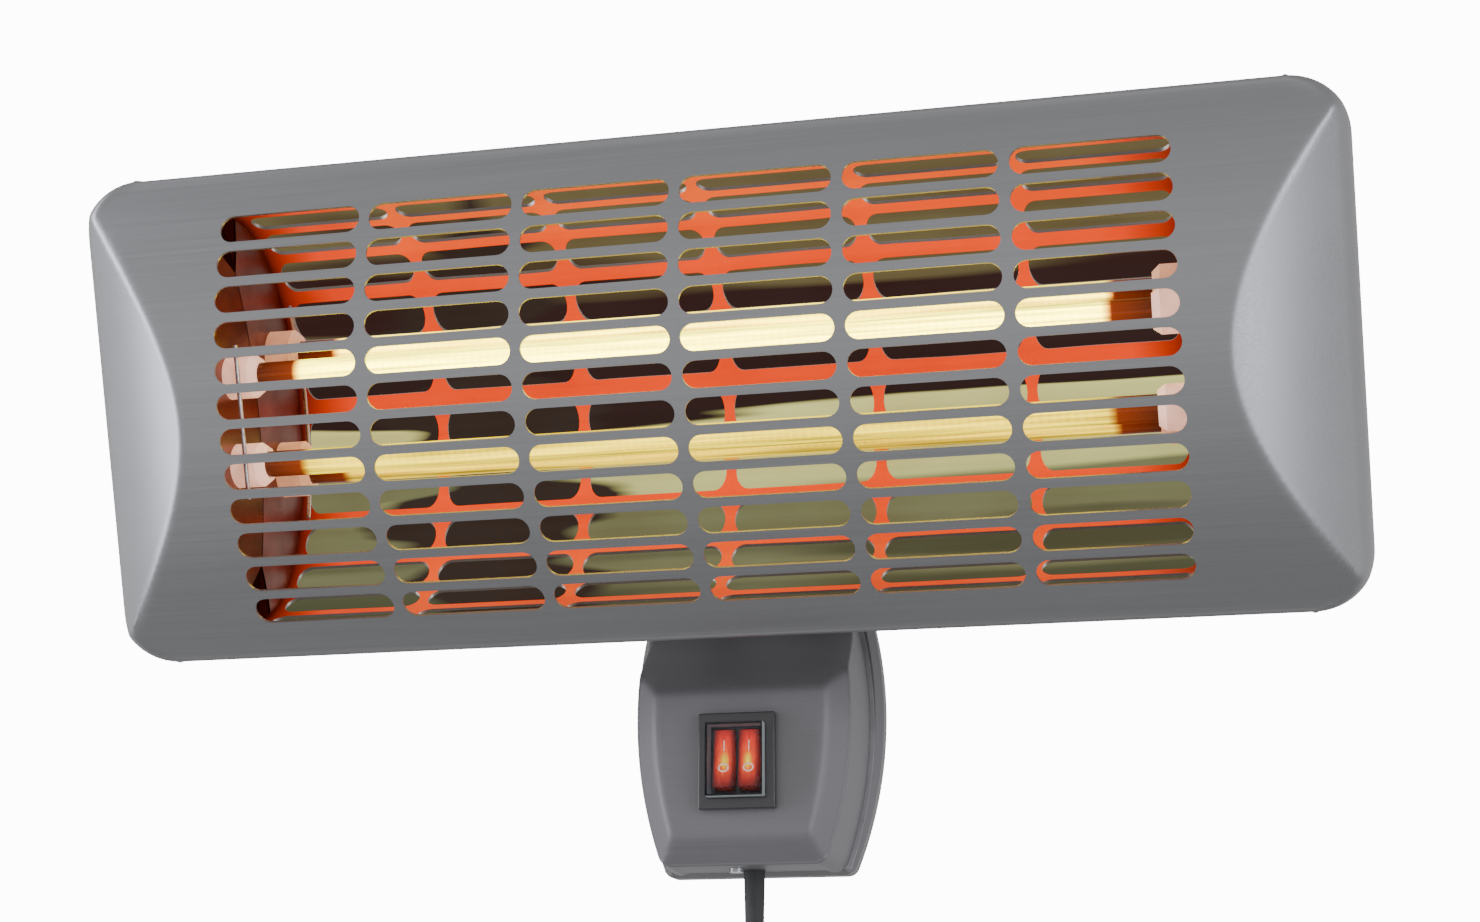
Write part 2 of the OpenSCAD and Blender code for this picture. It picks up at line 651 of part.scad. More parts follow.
module box_shell() color(steel_grey) difference() {
    intersection() {
        shell_block(0);
        translate([-100, -box_d - 1, -100]) cube([200, box_d + 1 - shell_back, 200]);
    }
    shell_block(shell_t);
    translate([0, 0, switch_z]) along_y(-box_d - 5, -box_d + 5)
        square([body_w + 0.4, body_h + 0.4], center = true);
    translate([0, -cord_out, -box_bottom]) cylinder(r = cord_hole_r, h = 20, center = true);
    translate([cover_screw_at[0], cover_screw_at[1], -box_bottom]) cylinder(d = 3.4, h = 30, center = true);
}

module bowed_outline(grow, down, up, bow_r, middle_z) intersection() {
    translate([box_half - bow_r, middle_z]) circle(bow_r + grow, $fn = 180);
    translate([bow_r - box_half, middle_z]) circle(bow_r + grow, $fn = 180);
    translate([-2 * box_half, -down]) square([4 * box_half, down + up]);
}

// What a round lower corner of the plate takes away: all that lies outside a circle that
// touches the bowed side and the bottom
module corner_cut() {
    big_r = plate_bow_r + flare + plate_proud;
    low_z = -plate_half_h + plate_corner_r;
    at_x = box_half - plate_bow_r + sqrt(pow(big_r - plate_corner_r, 2) - pow(low_z - plate_bow_z, 2));
    reach = unit([at_x - box_half + plate_bow_r, low_z - plate_bow_z]) * 3 * plate_corner_r;
    difference() {
        polygon([[at_x, low_z], [at_x, low_z] + reach, [at_x, low_z - 3 * plate_corner_r] + reach,
            [at_x, low_z - 3 * plate_corner_r]]);
        translate([at_x, low_z]) circle(plate_corner_r, $fn = 64);
    }
}

// Bowed tray with a bevelled rim, notched for the hinge ears, and a tab for the cover's screw
module wall_plate() color(steel_grey) {
    difference() {
        plate_tray();
        screw_tab_hole();
    }
    difference() {
        screw_tab();
        screw_tab_hole();
    }
}

module screw_tab_hole() translate([cover_screw_at[0], cover_screw_at[1], -box_bottom])
    cylinder(d = 3.1, h = 2 * shell_t + 8);

module screw_tab() translate([0, 0, -box_bottom + shell_t + seat]) linear_extrude(2.5)
    polygon([[-12, -plate_t + eps], [-12, cover_screw_at[1] - 4], [-1.5, cover_screw_at[1] - 4],
        [-1.5, -cord_out - cord_d / 2 - 4.1], [-cord_d / 2 - 4.1, -cord_out - cord_d / 2 - 4.1],
        [-cord_d / 2 - 4.1, -plate_t + eps]]);

module plate_tray() difference() {
    grow = flare + plate_proud;
    rim_y = -plate_d + plate_bevel_d;
    hollow_h = plate_half_h - 1.5 - plate_t;
    union() {
        along_y(rim_y, 0) bowed_outline(grow, plate_half_h, plate_half_h, plate_bow_r, plate_bow_z);
        intersection() {
            box_side(-plate_d, rim_y, grow - plate_bevel_w, grow, plate_bow_r, plate_bow_z);
            along_x(4 * box_half) polygon([[-plate_d, -plate_half_h + 1.5], [rim_y + eps, -plate_half_h],
                [rim_y + eps, plate_half_h], [-plate_d, plate_half_h - 1.5]]);
        }
    }
    along_y(-plate_d - 1, -plate_t)
        bowed_outline(grow - plate_floor_w, hollow_h, hollow_h, plate_bow_r, plate_bow_z);
    for (side = [0, 1]) mirror([side, 0, 0]) along_y(-plate_d - 1, 1) corner_cut();
    translate([-ear_half - ear_t - 1, -plate_d - 1, box_top])
        cube([2 * (ear_half + ear_t + 1), plate_d + 1 - plate_t, 30]);
    for (x = [-1, 1], z = [-1, 1])
        translate([x * screw_span_x / 2, 0, z * screw_span_z / 2]) rod_y(wall_hole_d / 2, -plate_d, 1);
    bracket_screw_places() rod_y(bracket_hole_r, -20, 10);
    translate([0, -cord_out, -plate_half_h]) cylinder(r = cord_d / 2 + 3.2, h = 12, center = true);
}

// Rubber strip in the groove between the shell's edge and the plate's rim, open at the top
module box_gasket() color(black) difference() {
    along_y(-shell_back + 0.1, -plate_d - 0.1)
        bowed_outline(flare + gasket_out, box_bottom - 0.4, box_top - 4, box_bow_r, bow_z);
    along_y(-shell_back - 1, 1)
        bowed_outline(flare - shell_t + 0.2, box_bottom - shell_t + 0.2, box_top, box_bow_r, bow_z);
    translate([0, -cord_out, -box_bottom]) cylinder(r = cord_hole_r, h = 20, center = true);
}

module cover_screw() color(zinc) translate([cover_screw_at[0], cover_screw_at[1], -box_bottom]) {
    translate([0, 0, -1.6]) cylinder(r = 2.9, h = 1.6);
    cylinder(d = 3, h = shell_t + 4);
}

// ---- the switch
module at_switch() translate([0, -box_d, switch_z]) children();

module switch_body() color(black) at_switch() difference() {
    union() {
        translate([-body_w / 2, -body_proud, -body_h / 2]) cube([body_w, body_d, body_h]);
        translate([-flange_w / 2, -body_proud, -flange_h / 2]) cube([flange_w, body_proud - 0.1, flange_h]);
    }
    for (side = [-1, 1]) {
        translate([side * rocker_x - rocker_w / 2 - 0.2, -body_proud - 1, -rocker_len / 2 - 1.1])
            cube([rocker_w + 0.4, body_proud + 1 + cavity_d, rocker_len + 2.2]);
        translate([side * rocker_x, 0, 0]) rod_x(rocker_pin_r + run, rocker_w + 1.8);
        translate([side * rocker_x, 0, 0]) rod_y(2.7, 4, 12);
    }
}

// The rocker stands pressed at its upper end, the ON side
module rocker(side) color("#d8382a") at_switch() translate([side * rocker_x, 0, 0]) {
    rotate([-rocker_swing, 0, 0]) {
        difference() {
            along_x(rocker_w) {
                polygon([[-5, rocker_len / 2], [-4.2, 0], [-5, -rocker_len / 2], [0.6, -rocker_len / 2],
                    [3.2, -4], [3.2, 4], [0.6, rocker_len / 2]]);
            }
            rod_x(0.6, rocker_w + 2, 24);
        }
    }
    rod_x(rocker_pin_r, rocker_w + 1.6);
}
module rocker_left() rocker(-1);
module rocker_right() rocker(1);

module switch_cover() color("#dfe6ea", 0.35) at_switch() difference() {
    union() {
        translate([-cover_w / 2, -cover_d, -cover_h / 2]) cube([cover_w, cover_d - 1.6, cover_h]);
        translate([-flange_w / 2, -2.4, -flange_h / 2]) cube([flange_w, 0.8, flange_h]);
    }
    translate([-cover_w / 2 + 0.8, -cover_d + 0.8, -cover_h / 2 + 0.8])
        cube([cover_w - 1.6, cover_d, cover_h - 1.6]);
}

module switch_bezel() color(black) at_switch() difference() {
    translate([-bezel_w / 2, -bezel_d, -bezel_h / 2]) cube([bezel_w, bezel_d - 0.1, bezel_h]);
    translate([-flange_w / 2 - fit, -bezel_pocket, -flange_h / 2 - fit])
        cube([flange_w + 2 * fit, bezel_d, flange_h + 2 * fit]);
    translate([-cover_w / 2 - fit, -bezel_d - 1, -cover_h / 2 - fit])
        cube([cover_w + 2 * fit, bezel_d + 2, cover_h + 2 * fit]);
}

module switch_contacts() color("#c9a34a") at_switch()
    for (x = [-1, 1], z = [-1, 0, 1]) translate([x * rocker_x - 2.4, body_d - body_proud, z * 8.5 - 0.4])
        cube([4.8, 8, 0.8]);

module switch_lamps() color("#ff9a3c") at_switch() for (side = [-1, 1])
    translate([side * rocker_x, 0, 0]) rod_y(2.5, 5.2, 11.5);

// ---- inside the wall box
module terminal_block() color(ceramic) translate([0, -plate_t - 0.15, 17]) difference() {
    translate([-17, -15, -8]) cube([34, 15, 16]);
    for (i = [-1, 0, 1]) translate([i * box_pole_pitch, -6.5, 0]) cylinder(r = 2, h = 30, center = true);
    for (i = [-1, 0, 1], z = [-1, 1])
        translate([i * box_pole_pitch, 0, z * 4.2]) rod_y(1.6, -16, -6.5);
}

module terminal_screws() color(zinc) translate([0, -plate_t - 0.15, 17])
    for (i = [-1, 0, 1], z = [-1, 1])
        translate([i * box_pole_pitch, 0, z * 4.2]) rod_y(1.5, -14.2, -8.7, 24);

module earth_screw() color(zinc) translate([-ear_half - 8, 0, 16]) {
    rod_y(4, -plate_t - 3, -plate_t - fit);
    rod_y(1.9, -plate_t - 4.5, -plate_t - 3 + eps);
}

module lead_cores() color("#8a5a3a") for (i = [-1, 0, 1])
    swept([[i * 2.2, -cord_out, -33.6], [i * 3, -cord_out, -28], [i * 6, -15, -18], [i * 9, -10.5, -6],
        [i * box_pole_pitch, -plate_t - 6.65, 4], [i * box_pole_pitch, -plate_t - 6.65, 12]], 1, 8);

module cord_clamp_base() color(black) difference() {
    translate([-clamp_w / 2, -cord_out, clamp_z]) cube([clamp_w, cord_out - plate_t - fit, clamp_h]);
    translate([0, -cord_out, clamp_z - clamp_h]) cylinder(d = cord_d + 0.2, h = 3 * clamp_h);
    clamp_screw_places() rod_y(1.6, -cord_out - 10, -plate_t - 3);
}

module cord_clamp_bar() color(black) difference() {
    translate([-clamp_w / 2, -cord_out - cord_d / 2 - 2.5, clamp_z])
        cube([clamp_w, cord_d / 2 + 2.3, clamp_h]);
    translate([0, -cord_out, clamp_z - clamp_h]) cylinder(d = cord_d + 0.2, h = 3 * clamp_h);
    clamp_screw_places() rod_y(1.6, -cord_out - 10, 0);
}

module clamp_screw_places()
    for (x = [-1, 1]) translate([x * clamp_w / 3, 0, clamp_z + clamp_h / 2]) children();

module cord_clamp_screws() color(zinc) clamp_screw_places() {
    rod_y(1.5, -cord_out - cord_d / 2 - 2.5 - eps, -plate_t - 4);
    rod_y(3, -cord_out - cord_d / 2 - 4.5, -cord_out - cord_d / 2 - 2.5);
}

module strain_relief() color(black) translate([0, -cord_out, -box_bottom]) difference() {
    union() {
        translate([0, 0, -relief_len]) cylinder(r1 = cord_d / 2 + 0.4, r2 = cord_d / 2 + 0.9, h = relief_len);
        cylinder(r = cord_d / 2 + 2.4, h = shell_t);
        translate([0, 0, shell_t + 0.1]) cylinder(r = cord_d / 2 + 3.6, h = 1.8);
        cylinder(r = cord_d / 2 + 2, h = shell_t + 1);
    }
    cylinder(r = cord_d / 2 + 0.05, h = 3 * relief_len, center = true);
}

// ---- the mains lead
module mains_cord() color(black) swept([for (p = cord_route) [p[0], -cord_out, p[1]]], cord_d / 2);

module cord_coil() color(black) translate(wound_at) rotate([90, 0, 0]) rotate_extrude($fn = 64)
    translate([wound_r, 0]) rounded(wound_across * cord_d, wound_deep * cord_d, cord_d / 2 - 0.1);

module cord_tail() color(black)
    swept([for (i = [0:2]) plug_at + [0, 0, (tail_top - tail_bottom) * (2 - i) / 2]], cord_d / 2);

module cord_tie() color(black) translate(wound_at) rotate([0, -tie_angle, 0]) translate([wound_r, 0, 0])
    difference() {
        cube([wound_across * cord_d + 2.6, wound_deep * cord_d + 2.6, 4], center = true);
        cube([wound_across * cord_d + 0.2, wound_deep * cord_d + 0.2, 6], center = true);
    }

module plug_relief() color(black) translate(plug_at - [0, 0, plug_relief_len])
    cylinder(r1 = 6.5, r2 = cord_d / 2 + 0.8, h = plug_relief_len - eps);

module plug_body() color(black) translate(plug_at - [0, 0, plug_relief_len]) difference() {
    union() {
        translate([0, 0, -9]) cylinder(r1 = plug_d / 2 - 1, r2 = plug_d / 3, h = 9);
        translate([0, 0, -plug_len]) cylinder(d = plug_d - 2, h = plug_len - 9 + eps);
        translate([0, 0, -14]) cylinder(d = plug_d, h = 5);
    }
    for (side = [-1, 1]) {
        translate([side * pin_pitch / 2, 0, -plug_len - 1])
            cylinder(d = pin_root_d + 0.1, h = pin_root_len + 1);
        translate([-3, side * (plug_d / 2 - 2.6) - 1.6, -plug_len - 1]) cube([6, 3.2, 20]);
        translate([-3, side > 0 ? plug_d / 2 - 1.8 : -plug_d / 2 - 2.2, -plug_len - 1]) cube([6, 4, 12]);
    }
}

module plug_pins() color(zinc) translate(plug_at - [0, 0, plug_relief_len]) for (side = [-1, 1])
    translate([side * pin_pitch / 2, 0, -plug_len]) {
        translate([0, 0, -pin_shoulder - eps])
            cylinder(d = pin_root_d, h = pin_root_len + pin_shoulder - 0.1);
        translate([0, 0, -pin_len + pin_d / 2]) cylinder(d = pin_d, h = pin_len - pin_d / 2 - pin_shoulder);
        translate([0, 0, -pin_len + pin_d / 2]) sphere(d = pin_d, $fn = 32);
    }

module plug_earth_strips() color(zinc) translate(plug_at - [0, 0, plug_relief_len]) for (side = [-1, 1])
    translate([-2.4, side * (plug_d / 2 - 2.6) - 0.4, -plug_len + 0.4]) cube([4.8, 0.8, 18]);

front_panel();
rear_housing();
rim_screws();
reflector();
reflector_end_left();
reflector_end_right();
reflector_rivets();
upper_quartz_tube();
lower_quartz_tube();
upper_heating_coil();
lower_heating_coil();
upper_left_cap();
upper_right_cap();
lower_left_cap();
lower_right_cap();
tube_terminals();
tube_support_wire();
head_bracket();
head_bracket_rivets();
head_lead_grommet();
head_terminal_block();
wall_plate();
fixed_bracket();
bracket_screws();
pivot_bolt_left();
pivot_bolt_right();
pivot_nuts();
friction_washers();
box_shell();
box_gasket();
cover_screw();
switch_body();
switch_bezel();
switch_cover();
switch_contacts();
switch_lamps();
rocker_left();
rocker_right();
terminal_block();
terminal_screws();
earth_screw();
lead_cores();
cord_clamp_base();
cord_clamp_bar();
cord_clamp_screws();
strain_relief();
mains_cord();
cord_coil();
cord_tail();
cord_tie();
plug_relief();
plug_body();
plug_pins();
plug_earth_strips();
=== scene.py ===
import math

import bmesh
import bpy
from mathutils import Matrix, Vector


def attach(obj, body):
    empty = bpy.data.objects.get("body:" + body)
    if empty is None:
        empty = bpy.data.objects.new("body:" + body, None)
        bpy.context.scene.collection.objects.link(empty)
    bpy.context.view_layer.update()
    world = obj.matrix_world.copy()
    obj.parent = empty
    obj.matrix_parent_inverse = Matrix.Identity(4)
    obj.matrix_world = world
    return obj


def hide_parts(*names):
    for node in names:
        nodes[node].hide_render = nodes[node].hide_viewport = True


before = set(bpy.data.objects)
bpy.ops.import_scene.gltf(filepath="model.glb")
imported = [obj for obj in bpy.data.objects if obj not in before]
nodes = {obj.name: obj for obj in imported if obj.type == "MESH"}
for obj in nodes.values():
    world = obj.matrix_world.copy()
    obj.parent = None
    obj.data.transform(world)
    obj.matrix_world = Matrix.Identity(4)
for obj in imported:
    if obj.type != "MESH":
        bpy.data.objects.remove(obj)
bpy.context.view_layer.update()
MM = 0.001

# ---------------------------------------------------------------- camera
# The picture was taken from below, to the right of the middle, close to the heater and with
# the lens pointing up, so the tilted head is seen almost square on.
camera = bpy.data.objects.new("camera", bpy.data.cameras.new("camera"))
bpy.context.scene.collection.objects.link(camera)
camera.data.sensor_width = 36
camera.data.lens = 53.33
camera.data.clip_start = 0.01
camera.location = (0.189, -0.9113, -0.1493)
look_az, look_up = math.radians(12.334), math.radians(16.145)
look = Vector((-math.sin(look_az) * math.cos(look_up), math.cos(look_az) * math.cos(look_up), math.sin(look_up)))
camera.rotation_mode = "QUATERNION"
camera.rotation_quaternion = look.to_track_quat("-Z", "Y")
bpy.context.scene.camera = camera

# ---------------------------------------------------------------- mains lead
# Round three-core lead in dark grey rubber. It leaves the box's underside through a tapered
# sleeve and hangs down. Its spare length is wound in just over five turns, tied, with the plug below.


def colour(hex_code):
    """Linear colour of an sRGB hex code."""
    parts = [int(hex_code[i:i + 2], 16) / 255 for i in (1, 3, 5)]
    return [p / 12.92 if p <= 0.04045 else ((p + 0.055) / 1.055) ** 2.4 for p in parts] + [1.0]


def node(tree, kind, settings=None, **sockets):
    """Adds a shader node. Settings are its properties. A socket gets a value or another node's output."""
    made = tree.nodes.new(kind)
    for key, value in (settings or {}).items():
        setattr(made, key, value)
    for key, value in sockets.items():
        name = key.replace("_", " ")
        socket = made.inputs[int(name[1:])] if name[0] == "i" and name[1:].isdigit() else made.inputs[name]
        if isinstance(value, bpy.types.NodeSocket):
            tree.links.new(value, socket)
        else:
            socket.default_value = value
    return made


def material(name):
    made = bpy.data.materials.new(name)
    made.use_nodes = True
    made.node_tree.nodes.clear()
    return made, made.node_tree


def finished(made, tree, shader):
    out = node(tree, "ShaderNodeOutputMaterial")
    tree.links.new(shader.outputs[0], out.inputs["Surface"])
    return made


def spacing(*sizes_mm):
    """Scale of a pattern whose features have these sizes: a number, or one for each axis."""
    scales = [1 / (size * MM) for size in sizes_mm]
    return scales if len(scales) > 1 else scales[0]


def moulded(name, light, dark, rough, grain_mm, grain_depth, coat=0.0, painted_glow=None):
    """Plastic, rubber or ceramic: two close tones in soft clouds, a fine grain and uneven gloss.

    With a glow colour given, a painted glow of that colour stands in for the tubes' light falling on it.
    """
    made, tree = material(name)
    where = node(tree, "ShaderNodeTexCoord").outputs["Object"]
    clouds = node(tree, "ShaderNodeTexNoise", Vector=where, Scale=spacing(11.1), Detail=4.0).outputs["Fac"]
    grain = node(tree, "ShaderNodeTexNoise", Vector=where, Scale=spacing(grain_mm), Detail=3.0).outputs["Fac"]
    bump = node(tree, "ShaderNodeBump", Height=grain, Strength=0.35, Distance=grain_depth * MM)
    tone = node(tree, "ShaderNodeMapRange", Value=clouds, i1=0.35, i2=0.65).outputs[0]
    gloss = node(tree, "ShaderNodeMapRange", Value=clouds, i1=0.3, i2=0.7, i3=rough - 0.06, i4=rough + 0.06)
    two_tones = node(tree, "ShaderNodeMix", {"data_type": "RGBA"}, Factor=tone, i6=colour(dark), i7=colour(light))
    shader = node(tree, "ShaderNodeBsdfPrincipled", Base_Color=two_tones.outputs[2], Roughness=gloss.outputs[0],
                  Normal=bump.outputs["Normal"], Coat_Weight=coat, Coat_Roughness=0.25)
    # Painted light: an emission glow, uneven with the clouds, stands in for the tubes' light on the piece.
    if painted_glow:
        power = node(tree, "ShaderNodeMapRange", Value=clouds, i1=0.3, i2=0.7, i3=0.6, i4=1.0).outputs[0]
        shader.inputs["Emission Color"].default_value = colour(painted_glow)
        tree.links.new(power, shader.inputs["Emission Strength"])
    return finished(made, tree, shader)


def tube(name, points, radius, made_of, body, cyclic=False, sides=4):
    """A round bar or wire along points in the row frame, in metres. A cyclic one is a closed ring."""
    data = bpy.data.curves.new(name, "CURVE")
    data.dimensions = "3D"
    data.bevel_depth = radius
    data.bevel_resolution = sides
    data.use_fill_caps = True
    line = data.splines.new("POLY")
    line.points.add(len(points) - 1)
    for point, place_at in zip(line.points, points):
        point.co = (*place_at, 1)
    line.use_cyclic_u = cyclic
    line.use_smooth = True
    obj = bpy.data.objects.new(name, data)
    bpy.context.scene.collection.objects.link(obj)
    data.materials.append(made_of)
    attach(obj, body)
    return obj


lead_rubber = moulded("dark_grey_lead_rubber", "#757477", "#626164", 0.5, 0.9, 0.05)
# Lengths in mm. The coil's middle is at ring_z, and its turns have a wide or a tight radius.
lead_r, lead_y = 3.5, -19.0
ring_z, wide, tight = -165.0, 45.0, 38.0
nearer_wall, further_out = lead_y + 2 * lead_r, lead_y - 2 * lead_r


def through(points, step=3.0):
    """A smooth line through points given in mm, with a point about every step mm."""
    made = []
    for i in range(len(points) - 1):
        a, b = Vector(points[i]), Vector(points[i + 1])
        before = Vector(points[i - 1]) if i else a * 2 - b
        after = Vector(points[i + 2]) if i + 2 < len(points) else b * 2 - a
        count = max(1, round((b - a).length / step))
        for k in range(count):
            t = k / count
            made.append(0.5 * (2 * a + (b - before) * t + (2 * before - 5 * a + 4 * b - after) * t * t
                               + (3 * a - before - 3 * b + after) * t ** 3))
    return made + [Vector(points[-1])]


# The turns lie in six lanes, three deep and two across: (radius, y). One lane is left for the
# next over 60 degrees, each time 60 degrees earlier, so no two strands cross.
lanes = [(wide, lead_y), (wide, nearer_wall), (tight, nearer_wall), (tight, lead_y), (tight, further_out),
         (wide, further_out)]
lane_every, lane_change = 300.0, 60.0
join_angle = 133.6
turned_at_end = 5.5 * 360 - join_angle
lead_line = through([(0, lead_y, -82.5), (0, lead_y, -88), (-1.5, lead_y, -96), (-5.5, lead_y, -105.5),
                     (-11.5, lead_y, -113), (-18, lead_y, -119.8), (-24.6, lead_y, -126.3)])
turned = 0.0
while turned < turned_at_end:
    lane = max(0, min(len(lanes) - 1, int(turned // lane_every)) - 1)
    share = min(1.0, max(0.0, (turned - lane_every * (lane + 1)) / lane_change))
    eased = share * share * (3 - 2 * share)
    radius, depth = (a + (b - a) * eased for a, b in zip(lanes[lane], lanes[lane + 1]))
    angle = math.radians(join_angle + turned)
    lead_line.append(Vector((radius * math.cos(angle), depth, ring_z + radius * math.sin(angle))))
    turned += 6.0
lead_line += [Vector((-wide, further_out, z)) for z in (ring_z, -171, -177, -183, -189, -196)]
lead_line = [p * MM for p in lead_line]
mains_lead = tube("mains_lead", lead_line, lead_r * MM, lead_rubber, "wall_box", sides=5)
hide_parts("mains_cord", "cord_coil", "cord_tail")

# ---------------------------------------------------------------- cable tie and plug
# Black nylon tie pulled tight round the strands. The plug is a moulded earthed two-pin one in
# black PVC with nickel-plated round pins and spring-brass earth strips let into its sides.


def metal(name, light, dark, rough, streaks_mm):
    """Bare or plated metal: two close tones in streaks of the given size along each axis, and uneven gloss."""
    made, tree = material(name)
    where = node(tree, "ShaderNodeTexCoord").outputs["Object"]
    along = node(tree, "ShaderNodeMapping", Vector=where, Scale=spacing(*streaks_mm)).outputs["Vector"]
    streaks = node(tree, "ShaderNodeTexNoise", Vector=along, Scale=1.0, Detail=5.0).outputs["Fac"]
    patches = node(tree, "ShaderNodeTexNoise", Vector=where, Scale=spacing(22.2), Detail=2.0).outputs["Fac"]
    bump = node(tree, "ShaderNodeBump", Height=streaks, Strength=0.25, Distance=0.02 * MM)
    tone = node(tree, "ShaderNodeMapRange", Value=streaks, i1=0.3, i2=0.7).outputs[0]
    gloss = node(tree, "ShaderNodeMapRange", Value=patches, i1=0.3, i2=0.7, i3=rough - 0.05, i4=rough + 0.05)
    two_tones = node(tree, "ShaderNodeMix", {"data_type": "RGBA"}, Factor=tone, i6=colour(dark), i7=colour(light))
    shader = node(tree, "ShaderNodeBsdfPrincipled", Base_Color=two_tones.outputs[2], Metallic=1.0,
                  Roughness=gloss.outputs[0], Normal=bump.outputs["Normal"])
    return finished(made, tree, shader)


def show(names, made_of):
    """Gives CAD nodes their material."""
    for name in names.split():
        nodes[name].data.materials.clear()
        nodes[name].data.materials.append(made_of)


black_nylon = moulded("black_nylon", "#1f2022", "#131415", 0.45, 0.6, 0.04)
nickel = metal("nickel_plated_brass", "#d5d2ca", "#b9b5ab", 0.22, (3.33, 3.33, 16.7))
plug_pvc = moulded("black_plug_pvc", "#2a2b2d", "#1c1d1f", 0.42, 0.5, 0.06)
show("cord_tie cord_clamp_base cord_clamp_bar", black_nylon)
show("plug_body plug_relief", plug_pvc)
show("plug_pins plug_earth_strips", nickel)

# ---------------------------------------------------------------- wall plate and gasket
# The plate is a bowed tray pressed from steel sheet and painted grey like the head. A grey rubber
# strip lies in the groove between it and the box's front shell and keeps splashes out.


def painted_steel(name, light, dark, rough, metallic):
    """Grey satin finish over brushed sheet: fine lines along X, soft clouds, faint unevenness.

    The brushing of such sheet is under 0.1 mm. It is drawn at 0.7 mm, so that it shows.
    """
    made, tree = material(name)
    where = node(tree, "ShaderNodeTexCoord").outputs["Object"]
    fine = node(tree, "ShaderNodeMapping", Vector=where, Scale=spacing(111, 0.714, 0.714)).outputs["Vector"]
    lines = node(tree, "ShaderNodeTexNoise", Vector=fine, Scale=1.0, Detail=4.0, Roughness=0.6).outputs["Fac"]
    broad = node(tree, "ShaderNodeMapping", Vector=where, Scale=spacing(333, 71.4, 71.4)).outputs["Vector"]
    clouds = node(tree, "ShaderNodeTexNoise", Vector=broad, Scale=1.0, Detail=3.0).outputs["Fac"]
    fine_share = node(tree, "ShaderNodeMapRange", Value=lines, i1=0.25, i2=0.75, i3=0.0, i4=0.7).outputs[0]
    broad_share = node(tree, "ShaderNodeMapRange", Value=clouds, i1=0.3, i2=0.7, i3=0.0, i4=0.3).outputs[0]
    both = node(tree, "ShaderNodeMath", {"operation": "ADD"}, i0=fine_share, i1=broad_share).outputs["Value"]
    bump = node(tree, "ShaderNodeBump", Height=lines, Strength=0.3, Distance=0.012 * MM)
    gloss = node(tree, "ShaderNodeMapRange", Value=both, i1=0.2, i2=0.8, i3=rough - 0.05, i4=rough + 0.05)
    two_tones = node(tree, "ShaderNodeMix", {"data_type": "RGBA"}, Factor=both, i6=colour(dark), i7=colour(light))
    shader = node(tree, "ShaderNodeBsdfPrincipled", Base_Color=two_tones.outputs[2], Metallic=metallic,
                  Roughness=gloss.outputs[0], Normal=bump.outputs["Normal"])
    return finished(made, tree, shader)


box_paint = painted_steel("grey_satin_painted_sheet", "#757376", "#6c6a6d", 0.5, metallic=0.3)
rubber = moulded("black_rubber", "#3a3a3b", "#29292a", 0.7, 0.4, 0.04)
zinc = metal("zinc_plated_steel", "#c4c6c9", "#9fa1a5", 0.3, (2, 2, 2))
show("wall_plate", box_paint)
show("strain_relief head_lead_grommet friction_washers", rubber)
show("box_gasket", moulded("grey_sealing_rubber", "#8f8e91", "#807f82", 0.6, 0.4, 0.04))
show("cover_screw earth_screw terminal_screws cord_clamp_screws bracket_screws rim_screws", zinc)

# ---------------------------------------------------------------- box front shell
# One deep-drawn steel cap with a flat front, bevelled edges and a long slope towards the hinge.
# Its bends are soft, as pressed sheet has them. It is held by a screw from below.


def smooth_min(a, b, soft):
    """The lesser of two values, blended where they are less than soft apart."""
    near = max(soft - abs(a - b), 0.0) / soft
    return min(a, b) - near * near * soft / 4


# Lengths in mm: flat_front, bevel_foot and gentle_front are distances from the wall, those with
# from, low and high are heights, and the bow is the arc of each side seen from the front.
flat_front, bevel_foot = 50.0, 40.5
steep_from, gentle_from, gentle_front, gentle_fall = 10.0, 36.0, 24.0, 0.28
side_bevel, low_bevel = 0.98, 0.89
bow_r, bow_x, bow_z, side_flare = 176.0, -131.1, 1.0, 0.12
shell_low, shell_high, shell_corner, shell_edge = -60.5, 52.0, 4.5, 1.0
cutout_x, cutout_z, switch_z = 12.8, 16.5, -20


def shell_depth(z):
    """Distance from the wall along the middle of the shell: a flat front and two slopes above it."""
    steep, gentle = flat_front - (z - steep_from), gentle_front - (z - gentle_from) * gentle_fall
    return smooth_min(flat_front, -smooth_min(-steep, -gentle, 3.0), 2.4)


def shell_half(z):
    """Half width at height z where the front bevels end. The sides flare, so low parts are wider."""
    return bow_x + math.sqrt(bow_r ** 2 - (z - bow_z) ** 2) + side_flare * max(0.0, bevel_foot - shell_depth(z))


def shell_front(x, z):
    """Distance of the shell's front from the wall, with the bevels at its sides and bottom."""
    side = bevel_foot + (shell_half(z) - abs(x)) * side_bevel
    below = bevel_foot + (z - shell_low) * low_bevel
    return smooth_min(smooth_min(shell_depth(z), below, 1.8), side, 1.2)


# The skin is a grid, with its rows close together round the rounded corners.
corner_rows, side_rows, shell_cols = 10, 46, 44
side_length = shell_high - shell_low - 2 * shell_corner
corner_turns = [math.radians(90 * k / corner_rows) for k in range(corner_rows)]
shell_rows = [shell_low + shell_edge + (shell_corner - shell_edge) * (1 - math.cos(a)) for a in corner_turns]
shell_rows += [shell_low + shell_corner + side_length * k / side_rows for k in range(side_rows + 1)]
shell_rows += [shell_high + shell_low - z for z in reversed(shell_rows[:corner_rows])]
verts, faces = [], []
shell_grid = []
for z in shell_rows:
    into = max(0.0, shell_low + shell_corner - z, z - (shell_high - shell_corner))
    inner = shell_corner - shell_edge
    half = shell_half(z) - shell_corner + math.sqrt(max(0.0, inner * inner - into * into))
    shell_grid.append([])
    for k in range(shell_cols + 1):
        x = half * (2 * k / shell_cols - 1)
        shell_grid[-1].append(len(verts))
        verts.append(Vector((x, -shell_front(x, z), z)))
